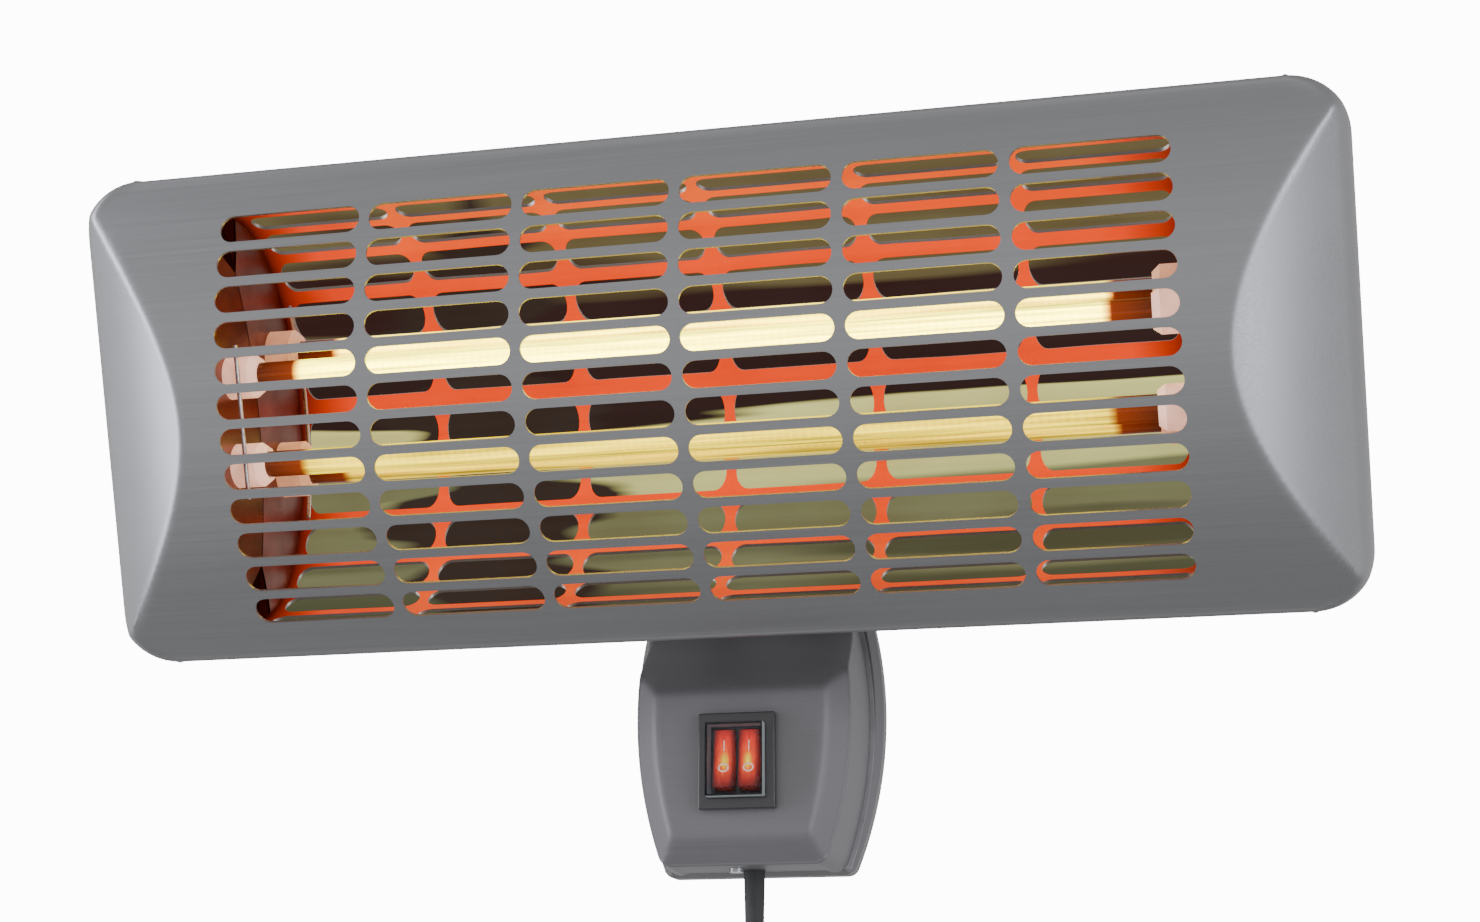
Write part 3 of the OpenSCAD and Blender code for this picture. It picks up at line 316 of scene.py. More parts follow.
for r in range(len(shell_rows) - 1):
    for k in range(shell_cols):
        a, b = shell_grid[r][k], shell_grid[r + 1][k + 1]
        middle = (verts[a] + verts[b]) / 2
        if abs(middle.x) >= cutout_x or abs(middle.z - switch_z) >= cutout_z:
            faces.append((a, shell_grid[r][k + 1], b, shell_grid[r + 1][k]))
rim = ([shell_grid[0][k] for k in range(shell_cols)] + [row[-1] for row in shell_grid[:-1]]
       + [shell_grid[-1][k] for k in range(shell_cols, 0, -1)] + [row[0] for row in reversed(shell_grid[1:])])


def turned_rim(verts, faces, rim, edge_r, back_y, flare=0.0, steps=4, end_r=None, end_lean=0.0, corner=None):
    """Folds a rim of points back to y = back_y round a bend that reaches out by edge_r.

    At the ends it reaches out by end_r, and the sheet comes to it sloping back by the angle end_lean.
    A corner is the (x, z) of the centres that the four rounded corners turn about.
    """
    count = len(rim)
    out = []
    for i in range(count):
        along = verts[rim[(i + 1) % count]] - verts[rim[i - 1]]
        out.append(Vector((along.z, 0, -along.x)).normalized())
    centre = sum((verts[i] for i in rim), Vector()) / count
    if sum(o.dot(verts[i] - centre) for o, i in zip(out, rim)) < 0:
        out = [-o for o in out]
    for k, i in enumerate(rim):
        if corner and abs(verts[i].x) > corner[0] and abs(verts[i].z) > corner[1]:
            out[k] = Vector((verts[i].x - math.copysign(corner[0], verts[i].x), 0,
                             verts[i].z - math.copysign(corner[1], verts[i].z))).normalized()
    rows = [rim]
    for s in range(1, steps + 2):
        row = []
        for o, i in zip(out, rim):
            base = verts[i]
            reach = edge_r + ((end_r or edge_r) - edge_r) * abs(o.x)
            lean = end_lean * o.x * o.x
            bend_r = reach / (1 - math.sin(lean))
            if s <= steps:
                a = lean + (math.pi / 2 - lean) * s / steps
                point = base + o * bend_r * (math.sin(a) - math.sin(lean))
                point.y += bend_r * (math.cos(lean) - math.cos(a))
            else:
                point = base + o * (reach + flare * abs(o.x) * (back_y - base.y))
                point.y = back_y
            row.append(len(verts))
            verts.append(point)
        rows.append(row)
    for upper, lower in zip(rows, rows[1:]):
        for i in range(count):
            faces.append((upper[i], lower[i], lower[(i + 1) % count], upper[(i + 1) % count]))


shell_back = -12.6
turned_rim(verts, faces, rim, shell_edge, shell_back, flare=side_flare)


def piece_from(name, shape, made_of, body, sharp, at=Matrix()):
    """A piece of the model from a finished shape, with edges over the angle sharp kept crisp."""
    mesh = bpy.data.meshes.new(name)
    shape.to_mesh(mesh)
    shape.free()
    for polygon in mesh.polygons:
        polygon.use_smooth = True
    mesh.set_sharp_from_angle(angle=math.radians(sharp))
    mesh.materials.append(made_of)
    obj = bpy.data.objects.new(name, mesh)
    bpy.context.scene.collection.objects.link(obj)
    obj.matrix_world = at
    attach(obj, body)
    return obj


def sheet_piece(name, verts, faces, thick, made_of, body, at=Matrix()):
    """Sheet metal from one skin in mm, laid out at a place: thick towards +Y, riding on a body."""
    shape = bmesh.new()
    made = [shape.verts.new(at @ (v * MM)) for v in verts]
    for f in faces:
        shape.faces.new([made[i] for i in f])
    bmesh.ops.recalc_face_normals(shape, faces=shape.faces)
    if sum(f.normal.y * f.calc_area() for f in shape.faces) > 0:
        bmesh.ops.reverse_faces(shape, faces=shape.faces)
    bmesh.ops.solidify(shape, geom=shape.faces[:], thickness=thick * MM)
    return piece_from(name, shape, made_of, body, 32)


box_front = sheet_piece("box_front_shell", verts, faces, 1.2, box_paint, "wall_box")
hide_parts("box_shell")

# ---------------------------------------------------------------- switch
# A sealed twin rocker: black frame, clear soft cover over two clear red rockers, each with a small
# neon lamp behind it. Both are on. White lines and rings are moulded into the rockers.
switch_at = Vector((0, -flat_front, switch_z))
frame_size, frame_hole, frame_round = (31.4, 3.9, 38.6), (23.7, 29.7), 0.5
frame_plastic = moulded("black_switch_plastic", "#343335", "#272628", 0.26, 0.35, 0.02, coat=0.4)
w, d, h = (size / 2 for size in frame_size)
a, b = (size / 2 for size in frame_hole)
shape = bmesh.new()
loops = [[shape.verts.new((x, y, z)) for x, z in ((-i, -j), (i, -j), (i, j), (-i, j))]
         for i, j, y in ((w, h, -d), (w, h, d), (a, b, d), (a, b, -d))]
for one, two in zip(loops, loops[1:] + loops[:1]):
    for k in range(4):
        shape.faces.new((one[k], one[(k + 1) % 4], two[(k + 1) % 4], two[k]))
bmesh.ops.recalc_face_normals(shape, faces=shape.faces)
corners = [e for e in shape.edges if e.calc_face_angle(0) > 0.6]
bmesh.ops.bevel(shape, geom=corners, offset=frame_round, segments=3, affect="EDGES", profile=0.5)
frame_place = Matrix.Translation((switch_at + Vector((0, -2.05, 0))) * MM) @ Matrix.Scale(MM, 4)
bezel = piece_from("switch_frame", shape, frame_plastic, "wall_box", 40, at=frame_place)
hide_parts("switch_bezel")
show("switch_body", frame_plastic)

rocker_x, rocker_lean = 5.1, -8.0
face_off_pivot, face_rise, rocker_half = 4.24, 0.8, 11.7


def red_plastic_with_painted_glow():
    """Clear red plastic over a lamp, with the lamp's light painted on as a glow: yellow at the lamp, orange round it,
    deep red further off.

    Both rockers share it, so it is laid out over |x|. Sizes here are metres, as the sockets want them.
    """
    made, tree = material("clear_red_plastic_with_painted_lamp_glow")
    where = node(tree, "ShaderNodeTexCoord").outputs["Object"]
    parts = node(tree, "ShaderNodeSeparateXYZ", Vector=where)
    side = node(tree, "ShaderNodeMath", {"operation": "ABSOLUTE"}, i0=parts.outputs["X"]).outputs["Value"]
    folded = node(tree, "ShaderNodeCombineXYZ", X=side, Y=0.0, Z=parts.outputs["Z"]).outputs["Vector"]
    away = node(tree, "ShaderNodeVectorMath", {"operation": "SUBTRACT"}, i0=folded,
                i1=(0.0048, 0.0, -0.0203)).outputs["Vector"]
    flatter = node(tree, "ShaderNodeVectorMath", {"operation": "MULTIPLY"}, i0=away, i1=(1.4, 1.0, 0.68))
    far = node(tree, "ShaderNodeVectorMath", {"operation": "LENGTH"}, i0=flatter.outputs["Vector"]).outputs["Value"]
    share = node(tree, "ShaderNodeMapRange", Value=far, i1=0.0, i2=0.0095).outputs[0]
    ramp = node(tree, "ShaderNodeValToRGB", Fac=share)
    stops = ramp.color_ramp.elements
    stops[0].color, stops[1].color = colour("#ffe030"), colour("#7c0602")
    for at, code in ((0.16, "#ffb810"), (0.3, "#ff4a04"), (0.66, "#e02004")):
        stops.new(at).color = colour(code)
    lengthways = node(tree, "ShaderNodeMapping", Vector=where, Scale=spacing(0.667, 3.33, 4.55)).outputs["Vector"]
    flecks = node(tree, "ShaderNodeTexNoise", Vector=lengthways, Scale=1.0, Detail=3.0).outputs["Fac"]
    gloss = node(tree, "ShaderNodeMapRange", Value=flecks, i1=0.3, i2=0.7, i3=0.18, i4=0.3).outputs[0]
    # The flecks set the gloss and also make the painted glow uneven.
    fleck_power = node(tree, "ShaderNodeMapRange", Value=flecks, i1=0.3, i2=0.7, i3=1.1, i4=2.0).outputs[0]
    # Painted light: the glow fades below the lamp and away from each rocker's middle line.
    dimmer_below = node(tree, "ShaderNodeMapRange", Value=parts.outputs["Z"], i1=-0.031, i2=-0.0235, i3=0.12,
                        i4=1.0).outputs[0]
    past_line = node(tree, "ShaderNodeMath", {"operation": "SUBTRACT"}, i0=side, i1=rocker_x * MM).outputs["Value"]
    off_line = node(tree, "ShaderNodeMath", {"operation": "ABSOLUTE"}, i0=past_line).outputs["Value"]
    dimmer_aside = node(tree, "ShaderNodeMapRange", Value=off_line, i1=0.0022, i2=0.0037, i3=1.0, i4=0.2).outputs[0]
    dimmer = node(tree, "ShaderNodeMath", {"operation": "MULTIPLY"}, i0=dimmer_aside, i1=dimmer_below).outputs[0]
    power = node(tree, "ShaderNodeMath", {"operation": "MULTIPLY"}, i0=fleck_power, i1=dimmer).outputs[0]
    shader = node(tree, "ShaderNodeBsdfPrincipled", Base_Color=colour("#7c2a22"), Roughness=gloss,
                  Emission_Color=ramp.outputs["Color"], Emission_Strength=power, Coat_Weight=0.3)
    return finished(made, tree, shader)


show("rocker_left rocker_right", red_plastic_with_painted_glow())


def glowing(name, code, strength):
    """An even glow, a little uneven: a lamp's own light, or a painted glow on a thing that is no lamp."""
    made, tree = material(name)
    where = node(tree, "ShaderNodeTexCoord").outputs["Object"]
    uneven = node(tree, "ShaderNodeTexNoise", Vector=where, Scale=spacing(1.43), Detail=2.0).outputs["Fac"]
    power = node(tree, "ShaderNodeMapRange", Value=uneven, i1=0.3, i2=0.7, i3=strength * 0.8, i4=strength * 1.2)
    shader = node(tree, "ShaderNodeEmission", Color=colour(code), Strength=power.outputs[0])
    return finished(made, tree, shader)


def on_rocker(side, x, z):
    """A point on the face of a rocker, whose halves rise from its middle, as it stands when on."""
    lean = Matrix.Rotation(math.radians(rocker_lean), 4, "X")
    pivot = switch_at + Vector((side * rocker_x, 0, 0))
    return (pivot + lean @ Vector((x, -face_off_pivot - face_rise * abs(z) / rocker_half, z))) * MM


# The white marks on the rockers are drawn as a painted glow in warm white, not as plastic lit by the lamps.
marks_painted_glow = glowing("white_marks_with_painted_glow", "#ffd8c8", 1.3)
line_low, line_high, line_r = 3.2, 7.4, 0.22
ring_x, ring_high, ring_at, ring_r = 1.9, 1.6, -3.7, 0.3
for name, side in (("left", -1), ("right", 1)):
    line = [on_rocker(side, 0, z) for z in (line_low, line_high)]
    ring = [on_rocker(side, ring_x * math.cos(t * math.pi / 16), ring_at + ring_high * math.sin(t * math.pi / 16))
            for t in range(32)]
    tube(f"{name}_on_line", line, line_r * MM, marks_painted_glow, f"rocker_{name}", sides=2)
    tube(f"{name}_off_ring", ring, ring_r * MM, marks_painted_glow, f"rocker_{name}", cyclic=True, sides=2)


def clear(name, tint, rough):
    """Thin clear plastic: what is behind shows through, its walls look milky edge-on, and lights gleam on it."""
    made, tree = material(name)
    where = node(tree, "ShaderNodeTexCoord").outputs["Object"]
    haze = node(tree, "ShaderNodeTexNoise", Vector=where, Scale=spacing(3.85), Detail=3.0).outputs["Fac"]
    softness = node(tree, "ShaderNodeMapRange", Value=haze, i1=0.3, i2=0.7, i3=rough, i4=rough + 0.06).outputs[0]
    through_it = node(tree, "ShaderNodeBsdfTransparent", Color=colour(tint))
    milk = node(tree, "ShaderNodeBsdfDiffuse", Color=colour("#dfe6e6"))
    grazing = node(tree, "ShaderNodeLayerWeight", Blend=0.5).outputs["Facing"]
    milky = node(tree, "ShaderNodeMapRange", Value=grazing, i1=0.6, i2=0.97, i3=0.0, i4=0.9).outputs[0]
    walls = node(tree, "ShaderNodeMixShader", Fac=milky, i1=through_it.outputs[0], i2=milk.outputs[0])
    gloss = node(tree, "ShaderNodeBsdfGlossy", Color=colour("#ffffff"), Roughness=softness)
    edge = node(tree, "ShaderNodeFresnel", IOR=1.18).outputs["Fac"]
    both = node(tree, "ShaderNodeMixShader", Fac=edge, i1=walls.outputs[0], i2=gloss.outputs[0])
    return finished(made, tree, both)


show("switch_cover", clear("clear_soft_cover", "#e9edf0", 0.06))
show("switch_lamps", glowing("neon_lamp", "#ffb040", 4.0))
brass = metal("bright_brass", "#d0ad62", "#b08d45", 0.28, (5, 5, 5))
show("switch_contacts", brass)
show("lead_cores", moulded("brown_core_insulation", "#6a4630", "#573a28", 0.45, 0.5, 0.02))

# ---------------------------------------------------------------- hinge
# Two bent steel brackets: one on the wall plate, one riveted to the head's back. Zinc-plated
# bolts with friction washers hold the head at the tilt that it is pushed to.
dark_paint = painted_steel("dark_grey_painted_sheet", "#68686c", "#5c5c60", 0.5, metallic=0.3)
show("fixed_bracket head_bracket rear_housing", dark_paint)
show("pivot_bolt_left pivot_bolt_right pivot_nuts head_bracket_rivets reflector_rivets tube_terminals", zinc)

# ---------------------------------------------------------------- front panel
# One steel sheet, punched with six columns of twelve slots and bent to a shallow arc. The press
# slopes both ends down from a crisp crease and turns them back in a wide bend, and its long
# edges are folded back. The finish is satin grey with fine lines along the panel.
half_w, half_h = 250.0, 98.7
bulge, fold_back = 33.5, 12.0
arc_r = (half_h ** 2 + bulge ** 2) / (2 * bulge)
crease_x, end_slope, end_steepens, crease_soft = 201.5, 0.4, 0.0045, 0.5
columns, slot_rows = 6, 12
cell_x, cell_z = 62.4 / 2, 13.9 / 2
slot_x, slot_z = 58.4 / 2, 10.3 / 2
straight = slot_x - slot_z
drop = 1.1


def panel_height(x, v):
    """Height of the panel's outer face over the rim plane."""
    arc = math.sqrt(max(0.0, arc_r ** 2 - v * v)) - (arc_r - bulge)
    past_crease = abs(x) - crease_x
    end = bulge - past_crease * (end_slope + end_steepens * max(0.0, past_crease))
    return smooth_min(arc, end, crease_soft)


verts, faces, found = [], [], {}


def vert(x, v):
    """The panel's point at x and v up the head. Faces that meet share it."""
    key = (round(x, 3), round(v, 3))
    if key not in found:
        found[key] = len(verts)
        verts.append(Vector((x, -panel_height(x, v), v)))
    return found[key]


# Each slot sits in a cell of its own, with as many points round the cell as round the slot.
beside, along, upright = 4, 8, 4
round_end = 2 * beside + upright
cell_cols = [-cell_x + (cell_x - straight) * k / beside for k in range(beside)]
cell_cols += [-straight + 2 * straight * k / along for k in range(along + 1)]
cell_cols += [straight + (cell_x - straight) * k / beside for k in range(1, beside + 1)]
cell_rows = [-cell_z + 2 * cell_z * k / upright for k in range(upright + 1)]
outer = [(x, -cell_z) for x in cell_cols[:-1]] + [(cell_x, v) for v in cell_rows[:-1]]
outer += [(x, cell_z) for x in cell_cols[:0:-1]] + [(-cell_x, v) for v in cell_rows[:0:-1]]
inner = []
for side in (-1, 1):
    inner += [(side * straight * (1 - 2 * k / along), side * slot_z) for k in range(along)]
    for k in range(round_end):
        a = math.radians(180 * k / round_end + 90 * side)
        inner.append((-side * straight + slot_z * math.cos(a), slot_z * math.sin(a)))
inner = inner[-beside:] + inner[:-beside]
for column in range(columns):
    for row in range(slot_rows):
        cx, cv = (2 * column - columns + 1) * cell_x, (2 * row - slot_rows + 1) * cell_z - drop
        for k in range(len(outer)):
            m = (k + 1) % len(outer)
            faces.append((vert(cx + outer[k][0], cv + outer[k][1]), vert(cx + outer[m][0], cv + outer[m][1]),
                          vert(cx + inner[m][0], cv + inner[m][1]), vert(cx + inner[k][0], cv + inner[k][1])))

# Plain sheet goes on above and below the slots and to both ends, up to the bend of the rim.
grid_x, grid_low, grid_high = columns * cell_x, -slot_rows * cell_z - drop, slot_rows * cell_z - drop
fold, end_fold, corner_r = 1.8, 6.0, 23.0
end_lean = math.radians(38)
top_edge, straight_x = half_h - fold, half_w - corner_r
edge_steps, end_steps = 5, 48
strip_x = sorted({round((2 * c - columns + 1) * cell_x + x, 3) for c in range(columns) for x in cell_cols})
low_rows = [-top_edge + (grid_low + top_edge) * k / edge_steps for k in range(edge_steps + 1)]
high_rows = [grid_high + (top_edge - grid_high) * k / edge_steps for k in range(edge_steps + 1)]
for rows in (low_rows, high_rows):
    for a, b in zip(strip_x, strip_x[1:]):
        for c, d in zip(rows, rows[1:]):
            faces.append((vert(a, c), vert(b, c), vert(b, d), vert(a, d)))
end_x = [grid_x + (straight_x - grid_x) * k / end_steps for k in range(end_steps + 1)]
end_x += [straight_x + (corner_r - end_fold) * math.sin(math.radians(a)) for a in range(5, 91, 5)]
grid_rows = [grid_low + (grid_high - grid_low) * k / end_steps for k in range(end_steps + 1)]
all_rows = low_rows[:-1] + grid_rows + high_rows[1:]


def end_point(side, x, v):
    """Panel point near an end: rows close up where the outline's corner turns in."""
    long_way, less = corner_r - fold, end_fold - fold
    turned = (long_way - math.sqrt(max(0.0, long_way ** 2 - 4 * less * max(0.0, x - straight_x)))) / (2 * less)
    limit = half_h - corner_r + (long_way - less * turned) * math.sqrt(max(0.0, 1 - turned * turned))
    return vert(side * x, v * limit / top_edge)


for side in (-1, 1):
    for a, b in zip(end_x, end_x[1:]):
        for c, d in zip(all_rows, all_rows[1:]):
            faces.append((end_point(side, a, c), end_point(side, b, c), end_point(side, b, d), end_point(side, a, d)))
rim = [vert(x, -top_edge) for x in strip_x] + [end_point(1, x, -top_edge) for x in end_x[1:]]
rim += [end_point(1, end_x[-1], v) for v in all_rows[1:]] + [end_point(1, x, top_edge) for x in reversed(end_x[:-1])]
rim += [vert(x, top_edge) for x in reversed(strip_x[:-1])] + [end_point(-1, x, top_edge) for x in end_x[1:]]
rim += [end_point(-1, end_x[-1], v) for v in reversed(all_rows[:-1])]
rim += [end_point(-1, x, -top_edge) for x in reversed(end_x[1:-1])]
turned_rim(verts, faces, rim, fold, fold_back, steps=8, end_r=end_fold, end_lean=end_lean,
           corner=(straight_x, half_h - corner_r))
shown_tilt, head_middle = math.radians(20.5), Vector((0, -0.124, 0.115))
on_head = Matrix.Translation(head_middle) @ Matrix.Rotation(shown_tilt, 4, "X")


def paint_tube_glow(made, strength):
    """Tints the paint's face towards the tubes deep orange-brown and paints the tubes' orange light on it as a glow,
    strongest near the middle.

    The folded rim and the ends stay plain, because they show from outside.
    """
    tree = made.node_tree
    shader = next(n for n in tree.nodes if n.type == "BSDF_PRINCIPLED")
    paint = shader.inputs["Base Color"].links[0].from_socket
    where = node(tree, "ShaderNodeTexCoord")
    facing = node(tree, "ShaderNodeVectorMath", {"operation": "DOT_PRODUCT"}, i0=where.outputs["Normal"],
                  i1=(0.0, math.cos(shown_tilt), math.sin(shown_tilt))).outputs["Value"]
    away = node(tree, "ShaderNodeVectorMath", {"operation": "SUBTRACT"}, i0=where.outputs["Object"],
                i1=head_middle).outputs["Vector"]
    up_head = node(tree, "ShaderNodeVectorMath", {"operation": "DOT_PRODUCT"}, i0=away,
                   i1=(0.0, -math.sin(shown_tilt), math.cos(shown_tilt))).outputs["Value"]
    off_middle = node(tree, "ShaderNodeMath", {"operation": "ABSOLUTE"}, i0=up_head).outputs["Value"]
    place = node(tree, "ShaderNodeSeparateXYZ", Vector=where.outputs["Object"])
    towards_end = node(tree, "ShaderNodeMath", {"operation": "ABSOLUTE"}, i0=place.outputs["X"]).outputs["Value"]
    faces_in = node(tree, "ShaderNodeMapRange", Value=facing, i1=0.5, i2=0.7).outputs[0]
    off_fold = node(tree, "ShaderNodeMapRange", Value=off_middle, i1=0.092, i2=0.095, i3=1.0, i4=0.0).outputs[0]
    off_end = node(tree, "ShaderNodeMapRange", Value=towards_end, i1=0.236, i2=0.242, i3=1.0, i4=0.0).outputs[0]
    off_rim = node(tree, "ShaderNodeMath", {"operation": "MULTIPLY"}, i0=off_fold, i1=off_end).outputs["Value"]
    inward = node(tree, "ShaderNodeMath", {"operation": "MULTIPLY"}, i0=faces_in, i1=off_rim).outputs["Value"]
    # Painted light: the tubes' orange glow on the inward face, fading away from the middle and stopping short of the
    # ends.
    fades = node(tree, "ShaderNodeMapRange", {"interpolation_type": "SMOOTHSTEP"}, Value=off_middle,
                 i1=0.022, i2=0.098, i3=strength, i4=strength * 0.7).outputs[0]
    stops = node(tree, "ShaderNodeMapRange", Value=towards_end, i1=0.165, i2=0.19, i3=1.0, i4=0.02).outputs[0]
    lit = node(tree, "ShaderNodeMath", {"operation": "MULTIPLY"}, i0=fades, i1=stops).outputs["Value"]
    glow = node(tree, "ShaderNodeMath", {"operation": "MULTIPLY"}, i0=lit, i1=inward).outputs["Value"]
    tinted = node(tree, "ShaderNodeMix", {"data_type": "RGBA"}, Factor=inward, i6=paint,
                  i7=colour("#5a1a0c")).outputs[2]
    tree.links.new(tinted, shader.inputs["Base Color"])
    tree.links.new(glow, shader.inputs["Emission Strength"])
    shader.inputs["Emission Color"].default_value = colour("#ff4404")


# The panel's inward face carries a painted glow of the tubes' orange light.
panel_paint = painted_steel("brushed_grey_panel_with_painted_tube_glow", "#939395", "#878789", 0.37, metallic=0.75)
paint_tube_glow(panel_paint, 1.6)
panel = sheet_piece("slotted_front_panel", verts, faces, 1.0, panel_paint, "head", at=on_head)
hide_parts("front_panel")

# ---------------------------------------------------------------- reflector
# Polished aluminium sheet bent to a shallow arc behind the tubes, with folded steel ends that the
# tubes' caps pass through. It mirrors like glass with slow waves. Heat has tinted the ends brown.
mirror_made, tree = material("polished_reflector_sheet")
where = node(tree, "ShaderNodeTexCoord").outputs["Object"]
lengthways = node(tree, "ShaderNodeMapping", Vector=where, Scale=spacing(250, 6.25, 6.25)).outputs["Vector"]
rolling = node(tree, "ShaderNodeTexNoise", Vector=lengthways, Scale=1.0, Detail=3.0).outputs["Fac"]
dents = node(tree, "ShaderNodeMapping", Vector=where, Scale=spacing(71.4, 50, 50)).outputs["Vector"]
ripple = node(tree, "ShaderNodeTexNoise", Vector=dents, Scale=1.0, Detail=1.0).outputs["Fac"]
waves = node(tree, "ShaderNodeBump", Height=ripple, Strength=0.2, Distance=0.6 * MM)
blots = node(tree, "ShaderNodeTexNoise", Vector=dents, Scale=1.6, Detail=2.0).outputs["Fac"]
worn = node(tree, "ShaderNodeMath", {"operation": "ADD"}, i0=rolling, i1=blots).outputs["Value"]
tint = node(tree, "ShaderNodeMapRange", Value=worn, i1=0.8, i2=1.2).outputs[0]
tinted = node(tree, "ShaderNodeMix", {"data_type": "RGBA"}, Factor=tint, i6=colour("#d8c6b6"),
              i7=colour("#e6dccf")).outputs[2]
shader = node(tree, "ShaderNodeBsdfPrincipled", Metallic=1.0, Normal=waves.outputs["Normal"], Base_Color=tinted,
              Roughness=0.0)
polished = finished(mirror_made, tree, shader)
mirror_x, trough_half, trough_back, trough_lip = 188.0, 82.0, 12.0, 7.6
trough_steps = 64
trough_r = (trough_half ** 2 + (trough_back + trough_lip) ** 2) / (2 * (trough_back + trough_lip))
verts, faces = [], []
for k in range(trough_steps + 1):
    v = trough_half * (2 * k / trough_steps - 1)
    y = trough_back - trough_r + math.sqrt(trough_r ** 2 - v * v)
    verts += [Vector((-mirror_x, y, v - drop)), Vector((mirror_x, y, v - drop))]
for k in range(trough_steps):
    faces.append((2 * k, 2 * k + 1, 2 * k + 3, 2 * k + 2))
reflector = sheet_piece("polished_reflector", verts, faces, 0.8, polished, "head", at=on_head)
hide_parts("reflector")
tinted_steel = metal("heat_tinted_steel", "#8d6660", "#6d4a45", 0.3, (16.7, 16.7, 16.7))
show("reflector_end_left reflector_end_right", tinted_steel)
show("tube_support_wire", zinc)

# ---------------------------------------------------------------- quartz tubes, coils and caps
# Each tube is clear quartz round a glowing resistance coil, with a white ceramic cap on each end.
# The coil stops short of the caps, so the last stretch of tube only glows a dull orange.


def hot_wire(name, strength, core, end):
    """Glowing coil: nearly white in the middle, yellow and then orange at its cooler ends.

    Its real turns are finer. They are drawn 3.3 mm apart, so that they show.
    """
    made, tree = material(name)
    where = node(tree, "ShaderNodeTexCoord").outputs["Object"]
    parts = node(tree, "ShaderNodeSeparateXYZ", Vector=where)
    out = node(tree, "ShaderNodeMath", {"operation": "ABSOLUTE"}, i0=parts.outputs["X"]).outputs["Value"]
    turns = node(tree, "ShaderNodeTexWave", {"bands_direction": "X"}, Vector=where,
                 Scale=math.pi / 10 * spacing(3.307), Distortion=1.5, Detail=2.0).outputs["Fac"]
    cooling = node(tree, "ShaderNodeMapRange", Value=out, i1=0.148, i2=0.1585).outputs[0]
    glow = node(tree, "ShaderNodeMix", {"data_type": "RGBA"}, Factor=cooling, i6=core, i7=end).outputs[2]
    hot = node(tree, "ShaderNodeMapRange", Value=cooling, i1=0.0, i2=1.0, i3=strength, i4=1.5).outputs[0]
    wound = node(tree, "ShaderNodeMapRange", Value=turns, i1=0.0, i2=1.0, i3=0.7, i4=1.2).outputs[0]
    power = node(tree, "ShaderNodeMath", {"operation": "MULTIPLY"}, i0=hot, i1=wound).outputs["Value"]
    shader = node(tree, "ShaderNodeEmission", Color=glow, Strength=power)
    return finished(made, tree, shader)


def lit_quartz(name, strength, core, spread):
    """Quartz round the coil: bright along the coil, then a short dull orange stretch to the cap."""
    made, tree = material(name)
    where = node(tree, "ShaderNodeTexCoord").outputs["Object"]
    parts = node(tree, "ShaderNodeSeparateXYZ", Vector=where)
    out = node(tree, "ShaderNodeMath", {"operation": "ABSOLUTE"}, i0=parts.outputs["X"]).outputs["Value"]
    lengthways = node(tree, "ShaderNodeMapping", Vector=where, Scale=spacing(83.3, 1.43, 1.43)).outputs["Vector"]
    streaks = node(tree, "ShaderNodeTexNoise", Vector=lengthways, Scale=1.0, Detail=3.0).outputs["Fac"]
    past = node(tree, "ShaderNodeMapRange", Value=out, i1=0.1565, i2=0.1605).outputs[0]
    browner = node(tree, "ShaderNodeMapRange", Value=out, i1=0.158, i2=0.176).outputs[0]
    cool = node(tree, "ShaderNodeMix", {"data_type": "RGBA"}, Factor=browner, i6=colour("#d2551c"),
                i7=colour("#7c3a22")).outputs[2]
    hue = node(tree, "ShaderNodeMix", {"data_type": "RGBA"}, Factor=past, i6=core, i7=cool).outputs[2]
    uneven = node(tree, "ShaderNodeMapRange", Value=streaks, i1=0.35, i2=0.65, i3=strength * 0.35, i4=strength * 1.6)
    power = node(tree, "ShaderNodeMix", {"data_type": "FLOAT"}, Factor=past, i2=uneven.outputs[0], i3=0.6).outputs[0]
    glow = node(tree, "ShaderNodeEmission", Color=hue, Strength=power)
    open_glass = node(tree, "ShaderNodeBsdfTransparent", Color=colour("#fff4e6"))
    softness = node(tree, "ShaderNodeMapRange", Value=streaks, i1=0.3, i2=0.7, i3=0.04, i4=0.1).outputs[0]
    gleam = node(tree, "ShaderNodeBsdfGlossy", Color=colour("#ffffff"), Roughness=softness)
    share = node(tree, "ShaderNodeMapRange", Value=past, i1=0.0, i2=1.0, i3=spread, i4=0.8).outputs[0]
    inner = node(tree, "ShaderNodeMixShader", Fac=share, i1=open_glass.outputs[0], i2=glow.outputs[0])
    shine = node(tree, "ShaderNodeFresnel", IOR=1.25).outputs["Fac"]
    whole = node(tree, "ShaderNodeMixShader", Fac=shine, i1=inner.outputs[0], i2=gleam.outputs[0])
    return finished(made, tree, whole)


white_hot, yellow_hot, orange_hot = colour("#fff13f"), colour("#ffe219"), colour("#ff7c19")
show("upper_heating_coil", hot_wire("upper_glowing_coil", 16.0, white_hot, orange_hot))
show("lower_heating_coil", hot_wire("lower_glowing_coil", 8.0, yellow_hot, orange_hot))
show("upper_quartz_tube", lit_quartz("upper_hot_quartz", 10.0, white_hot, 0.62))
show("lower_quartz_tube", lit_quartz("lower_hot_quartz", 2.6, yellow_hot, 0.7))
ceramic = moulded("white_ceramic", "#fbf4ea", "#f3e9dc", 0.55, 0.7, 0.03)
# The tube caps carry a painted warm glow that stands in for the tubes' light on them.
ceramic_with_painted_glow = moulded("white_ceramic_with_painted_tube_glow", "#fbf4ea", "#f3e9dc", 0.55, 0.7, 0.03, painted_glow="#ffb48c")
show("head_terminal_block terminal_block", ceramic)
show("upper_left_cap upper_right_cap lower_left_cap lower_right_cap", ceramic_with_painted_glow)

# ---------------------------------------------------------------- floor and light
# A pale plain floor below the lead's plug, a white surround, and large soft lights to both sides,
# so the sloped ends shine and the flat middle stays an even grey.


